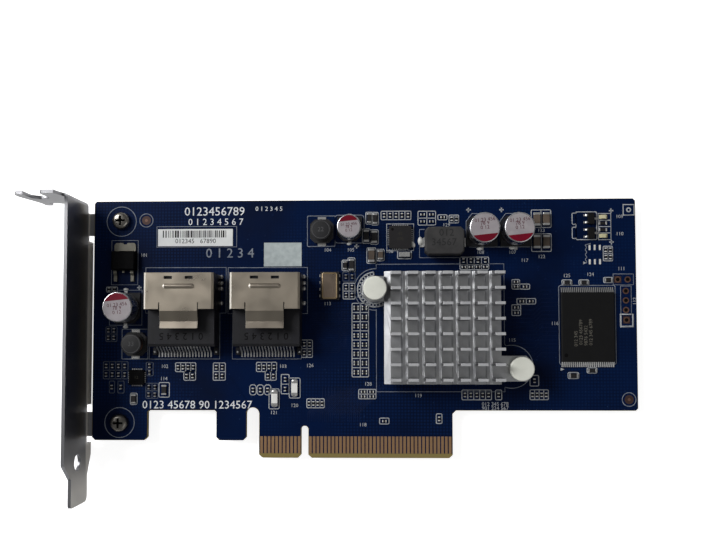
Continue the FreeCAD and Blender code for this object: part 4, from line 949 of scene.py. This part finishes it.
LYING = math.pi / 2
PAIR_SHIFT = 0.34
PAIR_STRETCH = (0.78, 1.22, 1.0)
chip_spots = [spot(x, y) for x, y in cell_middles(*UPRIGHT_CELLS, CAPSULES)]
chip_spots += [spot(x, y, turn=LYING) for x, y in cell_middles(*LYING_CELLS)]
for x, y in cell_middles(ARRAY):
    for shift in (-PAIR_SHIFT, PAIR_SHIFT):
        chip_spots.append(spot(x, y + shift, stretch=PAIR_STRETCH, turn=LYING))
dim_spots = [spot(x, y) for x, y in cell_middles(*DIM_CELLS)]
tiny_body = chip_mesh("tiny_body", wide=0.52, start=-0.33, stop=0.33, tall=0.46, ease=0.05)
tiny_end = chip_mesh("tiny_end", wide=0.6, start=0.32, stop=0.55, tall=0.5, ease=0.08)
scatter("tiny_chip_bodies", chip_spots, tiny_body, CHIP_BODY, ("tiny_chips",))
scatter("tiny_chip_ends", chip_spots, tiny_end, PALE_TIN)
scatter("dim_chip_bodies", dim_spots, tiny_body, CHIP_BODY)
scatter("dim_chip_ends", dim_spots, tiny_end, LOOKS["tin_plating"])

# White printing on the board: cells, frames of the larger parts, marks and figures
FRAMED = [
    (73.6, 59.15, 1.05, 1.95), (75.73, 58.87, 1.05, 1.95), (74.35, 63.96, 0.9, 1.6),
    (75.94, 63.79, 0.9, 1.7), (67.89, 51.27, 0.8, 1.4), (69.62, 51.42, 0.95, 1.9),
    (19.42, 18.05, 1.4, 1.95), (11.23, 15.65, 0.9, 1.5), (126.82, 46.49, 1.3, 0.7),
    (131.29, 46.48, 1.3, 0.7), (137.68, 47.12, 1.2, 0.7), (128.24, 21.87, 1.4, 0.8),
    (133.15, 23.2, 1.3, 0.7), (48.95, 15.65, 1.35, 2.65), (54.45, 18.55, 1.45, 2.65),
    (74.95, 53.89, 1.2, 2.1), (77.39, 54.01, 1.0, 1.55), (83.79, 54.09, 1.85, 1.1),
]
FRAME_ROUND = 0.35
CAPSULE_FRAME = (0.86, 1.35, 0.7)
CERAMIC_CELLS = [(117.6, 122.8, 61.2, 65.9, 2, 1), (117.6, 122.8, 54.8, 59.5, 2, 1)]
cells = cell_lines(*UPRIGHT_CELLS, *LYING_CELLS, ARRAY, *CERAMIC_CELLS)
cells += closed(*[around(x, y, *CAPSULE_FRAME) for x, y in cell_middles(CAPSULES)])
cells += closed(*[around(*sizes, FRAME_ROUND) for sizes in FRAMED])
cells += closed(around(82.66, 58.76, 3.6, 3.6), oblong(129.4, 134.85, 57.9, 65.3, 0.3))
cells += closed(*[oblong(128.4, 129.4, y, y + 3.0, 0.3) for y in (62.0, 58.2)])
cells += closed(oblong(135.27, 138.6, 57.85, 64.87))
cells += opened(*[[(135.27, y), (138.6, y)] for y in (59.65, 61.35, 63.05)])
ribbons("silk_cells", cells, 0.23, INK)
ribbons("silk_dim_cells", cell_lines(*DIM_CELLS), 0.22, DIM_INK)


def port_print(left, right, inner_left, inner_right, top, step, low):
    """The printed outline of a port, narrower behind its step."""
    front = [(left, top), (right, top), (right, step), (inner_right, step)]
    return front + [(inner_right, low), (inner_left, low), (inner_left, step), (left, step)]


OUTLINES = [
    port_print(14.16, 35.92, 14.9, 34.29, 50.85, 38.6, 26.29),
    port_print(36.46, 57.8, 37.7, 56.2, 50.76, 38.4, 26.27),
    oblong(4.82, 12.0, 46.26, 58.26),
    oblong(17.07, 38.7, 56.37, 61.94),
    oblong(57.8, 65.2, 56.4, 64.6, 0.2),
    oblong(7.9, 15.3, 26.3, 34.3, 0.2),
    oblong(124.65, 139.5, 24.8, 45.7, 0.5),
    oblong(4.4, 13.2, 35.4, 44.8),
    oblong(65.2, 73.0, 57.3, 64.8, 0.8),
    oblong(139.0, 144.34, 45.83, 48.71),
    oblong(140.92, 143.69, 37.82, 45.52),
    ring(7.43, 63.38, 4.0),
    ring(7.45, 9.34, 4.0),
    ring(14.17, 63.67, 1.8),
    ring(142.73, 15.54, 1.8),
]
EAR_MIDDLE = (75.9, 44.8)
sink_print = [(76.23, 39.5), (76.23, 17.57), (110.2, 17.57), (110.2, 18.8)]
sink_print += arc(112.0, 24.2, 5.7, -105, 105, 20)
sink_print += [(110.2, 30.2), (110.2, 51.55), (76.23, 51.55), (76.23, 50.3)]
sink_print += arc(*EAR_MIDDLE, 5.55, 88, 272, 20)
wave = [(131.95 + 0.2 * math.sin(1.3 * i), 51.6 + 0.27 * i) for i in range(19)]
OPEN_LINES = [
    sink_print,
    [(89.2, 60.84), (87.8, 60.84), (87.8, 53.26), (99.2, 53.26)],
    [(101.0, 56.05), (117.2, 56.05)],
    wave + [(133.2, 56.9)],
]
for left in (100.3, 109.3):
    OPEN_LINES.append([(left, 57.5), (left, 63.0), (left + 1.5, 65.0), (left + 6.6, 65.0)])
ribbons("silk_frames", closed(*OUTLINES) + opened(*OPEN_LINES), 0.2, THIN_INK)

PLUSES = [(71.0, 56.4), (100.9, 66.0), (109.7, 66.0), (138.7, 65.6), (138.7, 57.2), (12.4, 45.5)]
PLUS_HALF = 0.6
BAND = (3.75, 4.65)
bold = closed(oblong(141.9, 144.8, 64.4, 67.2), ring(143.35, 65.8, 0.5, 16))
bold += opened(*[arc(*EAR_MIDDLE, radius, 95, 300, 40) for radius in BAND])
for turn in range(95, 301, 12):
    bold += opened([arc(*EAR_MIDDLE, radius, turn, turn, 1)[0] for radius in BAND])
for x, y in PLUSES:
    bold += opened([(x - PLUS_HALF, y), (x + PLUS_HALF, y)], [(x, y - PLUS_HALF), (x, y + PLUS_HALF)])
ribbons("silk_bold_marks", bold, 0.34, INK)
ribbons("silk_heavy_box", closed(oblong(140.84, 144.04, 34.78, 37.96)), 0.6, INK)

# Flat things on the board start a little below its face
SUNK = -0.002
THIN = 0.012
plates("writing_field", [oblong(46.09, 56.21, 51.09, 57.47)], SUNK, 0.016, PALE_FIELD)
triangles = [[(131.2, 51.3), (132.0, 51.7), (131.2, 52.1)], [(124.9, 23.1), (125.9, 23.5), (124.9, 23.9)]]
plates("silk_triangles", triangles, SUNK, 0.02, INK)
REFERENCE_SPOTS = [
    (13.6, 54.2), (19.5, 24.3), (51.3, 24.3), (63.2, 55.4), (69.4, 55.4), (79.8, 55.0), (112.5, 54.6),
    (104.0, 54.6), (140.9, 64.0), (140.9, 59.4), (141.2, 50.1), (144.6, 41.5), (63.2, 41.0), (19.3, 21.0),
    (112.2, 31.2), (123.5, 35.6), (115.7, 52.4), (72.6, 8.8), (87.3, 16.5), (54.4, 13.9), (48.9, 12.0),
    (120.2, 53.4), (120.2, 60.4), (133.0, 48.6), (126.8, 48.3), (58.5, 24.5), (72.0, 43.0), (74.0, 19.6),
    (95.0, 62.0),
]
FIRST_REFERENCE = 101
REFERENCE_TALL = 0.95
TURNED_REFERENCE = (144.6, 41.5)
NUMBER_ROWS = [
    ("0123456789", 32.7, 65.9, PRINT_Z, 2.35, 0),
    ("0 1 2 3 4 5 6 7", 33.0, 63.1, PRINT_Z, 1.8, 0),
    ("0 1 2 3 4 5", 47.4, 66.6, PRINT_Z, 1.2, 0),
    ("0123 45678 90 1234567", 28.3, 14.0, PRINT_Z, 2.15, 0),
]
references = []
for number, place in enumerate(REFERENCE_SPOTS, FIRST_REFERENCE):
    turn = 90 if place == TURNED_REFERENCE else 0
    references.append((str(number), *place, PRINT_Z, REFERENCE_TALL, turn))
for body, y in (("012 345 678", 14.3), ("901 234 567", 13.2)):
    references.append((body, 107.6, y, PRINT_Z, 1.0, 0))
numerals("silk_number_rows", NUMBER_ROWS, BRIGHT_INK)
numerals("silk_figures", references, INK)
numerals("silk_wide_figures", [("0 1 2 3 4", 36.9, 54.6, PRINT_Z, 2.6, 0)], THIN_INK)

# Faint traces under the solder mask, and vias on both faces
dice = random.Random(11)
VIA_TALL = 0.012
LIFT = 0.004
VIAS_PER_FACE = 170
VIA_SPAN_X = (5.0, 141.0)
VIA_SPAN_Y = (16.0, 65.0)
runs = []
for i in range(26):
    x = 58.0 + 0.55 * i
    bend = 4.0 + 0.25 * i
    runs.append([(x, 9.5), (x, 12.0), (x + bend, 12.0 + bend), (x + bend, 19.0)])
for i in range(22):
    y = 28.0 + 0.5 * i
    runs.append([(58.5, y), (66.0, y), (67.0, y + 1.0), (69.3, y + 1.0)])
for i in range(16):
    y = 26.0 + 1.1 * i
    runs.append([(111.0, y), (118.0, y), (120.0, y + 2.0), (124.0, y + 2.0)])
for face, trace_z, via_z in (("front", LIFT, 0.0), ("back", BACK - LIFT, BACK - VIA_TALL)):
    ribbons(f"{face}_traces", opened(*runs), 0.18, TRACE, trace_z, THIN)
    via_spots = []
    for i in range(VIAS_PER_FACE):
        x = dice.uniform(*VIA_SPAN_X)
        y = dice.uniform(*VIA_SPAN_Y)
        via_spots.append(spot(x, y, via_z))
    via_ring = ring_mesh("via_ring", inner=0.15, outer=0.3, tall=VIA_TALL, steps=12)
    scatter(f"{face}_via_rings", via_spots, via_ring, TRACE)

# Capacitor cans: turned, with a rounded rim and a foot drawn in; films, a crimson segment and figures
WIDE_CAN = 7.9
CANS = [
    ("capacitor_left_can", 8.79, 39.95, WIDE_CAN, 7.2, 1),
    ("capacitor_middle_can", 69.15, 61.0, 6.3, 6.0, 1),
    ("capacitor_third_can", 104.37, 60.27, WIDE_CAN, 7.2, -1),
    ("capacitor_fourth_can", 113.37, 60.25, WIDE_CAN, 7.2, -1),
]
CAN_SEAT = 1.0
CAN_RIM = 0.3
CAN_FOOT_IN = 0.25
CAN_FOOT_TALL = 0.35
CAN_CRIMP = [(0.0, 0.24), (0.1, 0.26), (0.1, 0.29), (0.0, 0.31)]
PRINT_TILT = 6
FIGURE_ROWS = [("01 23 456", 1.3), ("78 9", 0.4), ("0 12", -0.7)]
FIGURE_TALL = 0.95
FIGURES_LOWER = 0.7
films = bmesh.new()
segments = bmesh.new()
can_marks = []
for name, x, y, dia, tall, side in CANS:
    wall = dia / 2
    profile = [(0, CAN_SEAT), (wall - CAN_FOOT_IN, CAN_SEAT), (wall, CAN_SEAT + CAN_FOOT_TALL)]
    profile += [(wall - inset, tall * share) for inset, share in CAN_CRIMP]
    profile += rounded_rim(wall, tall, CAN_RIM) + [(0, tall)]
    turned(name, x, y, profile, LOOKS["can_aluminium"])
    film_radius = wall - CAN_RIM - 0.01
    add_plate(films, ring(x, y, film_radius, 48), tall - 0.01, tall + 0.012)
    tilt = side * PRINT_TILT
    chord = [(px, y + side * (py - y)) for px, py in arc(x, y, film_radius, tilt + 29, tilt + 151, 24)]
    add_plate(segments, chord, tall, tall + 0.02)
    scale = dia / WIDE_CAN
    for body, rise in FIGURE_ROWS:
        row_y = y + (rise - side * FIGURES_LOWER) * scale
        can_marks.append((body, x, row_y, tall + 0.014, FIGURE_TALL * scale, PRINT_TILT))
add_shape("can_films", films, FILM_WHITE)
add_shape("can_segments", segments, CRIMSON)
numerals("can_figures", can_marks, PRINT_RED)

# Push pins: turned heads and shanks with two sprung prongs, over coiled springs
PINS = [("upper", 75.95, 44.6), ("lower", 113.4, 23.85)]
PIN_SEAT = 6.9
PIN_CROWN = 8.9
PIN_SHANK = 1.35
PIN_HEAD = 3.05
PRONG_TIP = BACK - 2.6
PRONG = [(0.32, 0.4), (PIN_SHANK, 0.4), (PIN_SHANK, BACK), (1.75, BACK)]
PRONG += [(0.75, PRONG_TIP), (0.32, PRONG_TIP)]
PRONG_HALF = 1.2
COIL_TURNS = 3
COIL_STEPS = 24
COIL_RADIUS = 2.2
COIL_LOW = 5.6
COIL_RISE = 1.1
COIL_WIRE = 0.2
pin_profile = [(0, 0.3), (PIN_SHANK, 0.3), (PIN_SHANK, PIN_SEAT), (2.7, PIN_SEAT)]
pin_profile += [(PIN_HEAD, PIN_SEAT + 0.15)] + rounded_rim(PIN_HEAD, PIN_CROWN, 0.28) + [(0, PIN_CROWN)]
for name, x, y in PINS:
    shape = bmesh.new()
    add_turned(shape, x, y, pin_profile, TURNED_STEPS)
    for side in (-1, 1):
        ends = []
        for end in (y - PRONG_HALF, y + PRONG_HALF):
            ends.append([card(x + side * px, end, z) for px, z in PRONG[::side]])
        add_loft(shape, *ends)
    pin = f"push_pin_{name}"
    add_shape(pin + "_turned", shape, LOOKS["white_nylon"], (pin,), TURNED_CREASE)
    coil = []
    for i, place in enumerate(arc(x, y, COIL_RADIUS, 0, 360 * COIL_TURNS, COIL_TURNS * COIL_STEPS)):
        rise = min(max((i - COIL_STEPS / 2) / ((COIL_TURNS - 1) * COIL_STEPS), 0.0), 1.0)
        coil.append(card(*place, COIL_LOW + COIL_RISE * rise))
    settings = {"Wire Radius": COIL_WIRE * MM, "Finish": LOOKS["screw_steel"]}
    spring = grown(f"spring_{name}_coil", path_mesh("coil", opened(coil)), WIRE, settings)
    spring.shade_smooth()
    add_piece(f"spring_{name}_coil", spring, (f"push_pin_spring_{name}",))

# Bracket screws: domed heads with a cross recess
SCREWS = [(7.5, 9.3), (7.5, 63.5)]
SCREW = [
    (0, -2.93), (1.2, -2.93), (1.475, -2.6), (1.475, 0.0), (2.35, 0.0), (2.35, 0.7), (2.3, 0.95), (2.1, 1.3),
    (1.85, 1.55), (1.5, 1.7), (0, 1.7),
]
CROSS_REACH = 1.3
CROSS_HALF = 0.3
CROSS_FLOOR = 0.7
CROSS_ARM = [(-CROSS_HALF, -CROSS_REACH), (CROSS_HALF, -CROSS_REACH), (CROSS_HALF, -CROSS_HALF)]
screws = bmesh.new()
crosses = bmesh.new()
cross_outlines = []
for x, y in SCREWS:
    add_turned(screws, x, y, SCREW, 48)
    outline = []
    for quarter in range(4):
        for px, py in CROSS_ARM:
            for turn in range(quarter):
                px, py = -py, px
            outline.append((x + px, y + py))
    cross_outlines.append(outline)
    add_plate(crosses, outline, CROSS_FLOOR, 2.2)
cutter = put_in_scene("cross_cutter", close_mesh("cross_cutter", crosses, None))
solid = put_in_scene("screw_solid", close_mesh("screw_solid", screws, LOOKS["screw_steel"]))
cut = solid.modifiers.new("recess", "BOOLEAN")
cut.object = cutter
cut.solver = "EXACT"
carved = evaluated("bracket_screws_carved", solid)
bpy.data.objects.remove(cutter)
smooth_up_to(carved, 30)
add_piece("bracket_screws_carved", carved, ("bracket_screws",))
# Painted shade: dark plates on the floors of the cross recesses
plates("cross_recess_floors", cross_outlines, CROSS_FLOOR, CROSS_FLOOR + 0.08, SHADE)

# Drum inductors: a turned core and a winding with a ridge for every turn of wire
DRUMS = [("upper", 61.67, 60.4, "22"), ("lower", 11.6, 30.3, "33")]
DRUM_FOOT = 0.9
DRUM_TOP = 4.2
DRUM_RADIUS = 2.7
DRUM_NECK = 1.2
WOUND_LOW = DRUM_FOOT + 0.7
WOUND_HIGH = DRUM_TOP - 0.7
WOUND_RADIUS = 2.28
RIDGE = 0.12
RIDGES = 7
core = [(0, DRUM_FOOT), (DRUM_RADIUS - 0.1, DRUM_FOOT), (DRUM_RADIUS, DRUM_FOOT + 0.1)]
core += [(DRUM_RADIUS, WOUND_LOW), (DRUM_NECK, WOUND_LOW), (DRUM_NECK, WOUND_HIGH), (DRUM_RADIUS, WOUND_HIGH)]
core += rounded_rim(DRUM_RADIUS, DRUM_TOP, 0.16, 3) + [(0, DRUM_TOP)]
wound = [(DRUM_NECK, WOUND_LOW)]
for i in range(RIDGES * 4 + 1):
    bulge = WOUND_RADIUS - RIDGE * math.cos(math.pi / 2 * i)
    wound.append((bulge, WOUND_LOW + (WOUND_HIGH - WOUND_LOW) * i / (RIDGES * 4)))
wound.append((DRUM_NECK, WOUND_HIGH))
for name, x, y, figure in DRUMS:
    turned(f"drum_inductor_{name}_core", x, y, core, DRUM)
    shape = bmesh.new()
    add_turned(shape, x, y, wound, 48)
    winding = f"drum_inductor_{name}_winding"
    add_shape(winding + "_ridged", shape, LOOKS["copper_wire"], (winding,), 60)
drum_rings = [ring(x, y, 2.3, 40) for name, x, y, figure in DRUMS]
ribbons("drum_rings", closed(*drum_rings), 0.16, RING_MARK, DRUM_TOP + LIFT, THIN)
drum_figures = [(figure, x, y, DRUM_TOP, 1.2, 0) for name, x, y, figure in DRUMS]
numerals("drum_figures", drum_figures, RING_MARK, deep=0.006)
eased_blocks("silver_chip", [(82.29, 85.29, 53.39, 54.79, 0.0, 0.85)], SOLDER, ease=0.12)

# Label: bars of mixed widths over a row of figures
LABEL_LEFT = 18.7
LABEL_RIGHT = 36.0
BAR_ENDS = (58.95, 60.85)
bars = []
dice = random.Random(5)
x = LABEL_LEFT
while x < LABEL_RIGHT:
    wide = dice.choice((0.16, 0.16, 0.3, 0.45))
    bars.append(oblong(x, x + wide, *BAR_ENDS))
    x += wide + dice.choice((0.18, 0.3, 0.42))
plates("label_bars", bars, 0.095, 0.112, PRINT_BLACK)
numerals("label_figures", [("012345   67890", 27.6, 57.95, 0.1, 1.25, 0)], PRINT_BLACK)

# Bare pads, plated holes of the empty headers with painted shade in them, and fiducials
pads = []
for i in range(3):
    left = 132.65 + 1.35 * i
    pads += [oblong(left, left + 0.5, low, low + 1.4, 0.1) for low in (55.1, 51.3)]
plates("bare_pads", pads, SUNK, 0.025, PALE_TIN)
ROUND_HOLES = [(142.81, 47.25), (142.27, 44.2), (142.27, 41.7), (142.27, 39.15)]
SQUARE_HOLES = [(140.19, 47.25), (142.36, 36.5)]
HOLE_RING = 0.03
for face, z in (("front", 0.0), ("back", BACK - HOLE_RING)):
    holes = [spot(x, y, z) for x, y in ROUND_HOLES + SQUARE_HOLES]
    pad_ring = ring_mesh("pad_ring", inner=0.5, outer=0.85, tall=HOLE_RING, steps=24)
    # Painted shade: a dark disc inside each plated hole
    painted_bore_shade = ring_mesh("painted_bore_shade", inner=0.02, outer=0.5, tall=0.022, steps=24)
    scatter(f"{face}_header_rings", holes, pad_ring, BARE_COPPER)
    scatter(f"{face}_header_bores", holes, painted_bore_shade, SHADE)
squares = [around(x, y, 0.95, 0.95, 0.1) for x, y in SQUARE_HOLES]
plates("square_pads", squares, SUNK, THIN, DARK_COPPER)
FIDUCIALS = [(14.17, 63.67), (142.73, 15.54)]
plates("fiducial_discs", [ring(x, y, 1.2, 32) for x, y in FIDUCIALS], SUNK, THIN, DARK_COPPER)
plates("fiducial_dots", [ring(x, y, 0.4, 20) for x, y in FIDUCIALS], SUNK, 0.02, BARE_COPPER)

# Ports: painted shade as dark plates behind the roof windows, contact rows in the card slots, hold-downs, and
# moulded figures drawn in painted shade
PORT_MIDDLES = (25.45, 47.68)
PORT_CONTACTS = [0.8235 * i - 7.0 for i in range(18)]
FINGER_HALF = 0.17
FINGER_ENDS = (36.5, 41.3)
FINGER_ROWS = ((4.25, 4.4), (5.4, 5.55))
HOLD_DOWNS = ((9.25, 0.55), (-9.25, 0.5))
HOLD_DOWN_ROWS = (48.3, 46.6, 45.1, 41.2)
PEG_SIDES = ((7.5, 8.1), (-8.9, -8.4))
PEG_WIDE = 1.1
PEG_ENDS = (27.4, 29.4)
PEG_TALL = 1.1
ROOF = 9.58
RIB_Y = 45.17
RIB_REACH = 3.5
RIB_HALF = 0.6
RIB_RISE = 0.42
RIB_CREST = 0.03
RIB_STEPS = 5
window_shades = []
fingers = []
spots = []
pegs = []
port_figures = []
ribs = bmesh.new()
for middle in PORT_MIDDLES:
    window_shades.append(around(middle, 45.0, 8.3, 3.2))
    for shift in PORT_CONTACTS:
        x = middle + shift
        for low, high in FINGER_ROWS:
            fingers.append((x - FINGER_HALF, x + FINGER_HALF, *FINGER_ENDS, low, high))
    for shift, wide in HOLD_DOWNS:
        spots += [spot(middle + shift, y, 0.0, (wide, 0.6, 0.7)) for y in HOLD_DOWN_ROWS]
    for left, shift in PEG_SIDES:
        pegs.append((middle + left, middle + left + PEG_WIDE, *PEG_ENDS, 0.0, PEG_TALL))
        spots.append(spot(middle + shift, 28.2, 1.0, (0.3, 0.3, 0.25)))
    port_figures.append(("0 1 2 3 4 5", middle, 32.4, 6.395, 1.9, 180))
    loops = []
    for across, rise in arc(0, 0, 1, 0, 90, RIB_STEPS):
        half = max(RIB_HALF * across, RIB_CREST)
        outline = around(middle, RIB_Y, RIB_REACH + half, half, half)
        loops.append(level(outline, ROOF + RIB_RISE * rise))
    add_loft(ribs, *loops)
# Painted shade: dark plates under the roof windows
plates("port_liners", window_shades, 8.75, 8.95, LOOKS["black_plastic"])
eased_blocks("slot_fingers", fingers, LOOKS["gold_plating"], ease=0.05)
eased_blocks("port_pegs", pegs, LOOKS["black_plastic"], ease=0.1)
scatter("port_solder", spots, blob_mesh("solder_blob"), SOLDER)
# The moulded figures are drawn in painted shade
numerals("port_figures", port_figures, SHADE, deep=0.012)
add_shape("port_roof_ribs", ribs, LOOKS["port_metal"], crease=60)

# Solder joints: can and inductor terminals, fuse ends, and the joints on the back of the card
TERMINALS = [(8.79, 34.9, 0.8), (8.79, 45.0, 0.8), (68.9, 57.0, 0.6), (103.8, 55.6, 0.9), (112.35, 55.8, 0.9)]
FUSES = [(49.07, 15.81), (54.4, 18.59)]
joints = [spot(x, y, 0.0, (0.9 * wide, 0.55 * wide, 0.45 * wide)) for x, y, wide in TERMINALS]
joints.append(spot(88.0, 57.7, 0.0, (0.65, 1.2, 0.8)))
joints.append(spot(86.0, 56.8, 0.0, (0.6, 0.9, 0.3), 0.6))
fuse_ends = [spot(x, y + shift, 0.0, (0.95, 0.6, 0.4)) for x, y in FUSES for shift in (-1.8, 1.8)]
scatter("fuse_solder", fuse_ends, blob_mesh("fuse_blob"), SOLDER)
scatter("front_solder", joints, blob_mesh("front_blob"), PALE_TIN)
back_joints = []
for middle in PORT_MIDDLES:
    for i, shift in enumerate(PORT_CONTACTS):
        back_joints.append(spot(middle + shift, 35.2 + 1.2 * (i % 2), BACK, (0.32, 0.32, 0.35)))
    for shift, y in ((-9.2, 40.5), (9.2, 40.5), (-9.2, 47.0), (9.2, 47.0)):
        back_joints.append(spot(middle + shift, y, BACK, (0.7, 1.0, 0.45)))
scatter("back_solder", back_joints, blob_mesh("back_blob", side=-1), SOLDER)

# Edge pads of the flat chips, side pads and lid seam of the oscillator
FLAT_CHIPS = [(82.66, 58.76, 3.0, 9), (12.1, 21.4, 2.0, 6)]
PAD_PITCH = 0.5
PAD_HALF = 0.13
PAD_TALL = 0.22
PAD_UNDER = 0.1
PAD_OUT = 0.36
edge_pads = []
for x, y, half, count in FLAT_CHIPS:
    for i in range(count):
        shift = (i - (count - 1) / 2) * PAD_PITCH
        for side in (-1, 1):
            near, far = sorted((side * (half - PAD_UNDER), side * (half + PAD_OUT)))
            edge_pads.append((x + near, x + far, y + shift - PAD_HALF, y + shift + PAD_HALF, 0.0, PAD_TALL))
            edge_pads.append((x + shift - PAD_HALF, x + shift + PAD_HALF, y + near, y + far, 0.0, PAD_TALL))
eased_blocks("flat_chip_pads", edge_pads, LOOKS["tin_plating"], ease=0.04)
CLOCK_X = 63.83
CLOCK_Y = 45.78
LID_TOP = 1.3
CLOCK_PAD_HALF = 0.35
side_pads = []
for left, right in ((-2.75, -2.4), (2.4, 2.75)):
    for shift in (-2.7, -0.9, 0.9, 2.7):
        low, high = CLOCK_Y + shift - CLOCK_PAD_HALF, CLOCK_Y + shift + CLOCK_PAD_HALF
        side_pads.append((CLOCK_X + left, CLOCK_X + right, low, high, 0.0, 0.6))
eased_blocks("oscillator_side_pads", side_pads, LOOKS["tin_plating"], ease=0.05)
lid_seam = around(CLOCK_X, CLOCK_Y, 1.86, 3.3, 0.3)
ribbons("oscillator_lid_seam", closed(lid_seam), 0.3, LID_EDGE, LID_TOP + LIFT, THIN)

# Marks on chips: pin-1 dimples and faint generic figures
FLASH_TOP = 1.1
FLAT_TOP = 0.9
INDUCTOR_TOP = 4.5
DIMPLES = [(126.2, 27.2, 0.5, FLASH_TOP), (80.6, 60.8, 0.35, FLAT_TOP), (10.8, 22.7, 0.25, FLAT_TOP)]
FLASH_ROWS = [
    ("012 345", 128.8, 31.6), ("0123 456789", 130.1, 33.3), ("9876 5432", 131.4, 32.4),
    ("012 345 6789", 132.7, 33.3),
]
FLAT_ROWS = [("45", 82.66, 59.6), ("670", 82.66, 58.2), ("12", 12.1, 21.4)]
INDUCTOR_ROWS = [("012", 94.7, 59.3), ("34567", 94.0, 56.8)]
dimples = bmesh.new()
for x, y, radius, z in DIMPLES:
    add_plate(dimples, ring(x, y, radius, 20), z - 0.01, z + 0.006)
# Painted shade: the pin-1 dimples drawn as dark discs
add_shape("chip_dimples", dimples, SHADE)
laser = [(*row, FLASH_TOP, 0.9, 90) for row in FLASH_ROWS]
numerals("chip_figures", laser, LASER, deep=0.004)
faint = [(*row, FLAT_TOP, 0.8, 0) for row in FLAT_ROWS]
numerals("small_chip_figures", faint, FAINT_LASER, deep=0.004)
stamped = [(*row, INDUCTOR_TOP, 1.9, 0) for row in INDUCTOR_ROWS]
numerals("inductor_figures", stamped, DRUM, deep=0.02)

bpy.context.scene.view_settings.view_transform = "Standard"
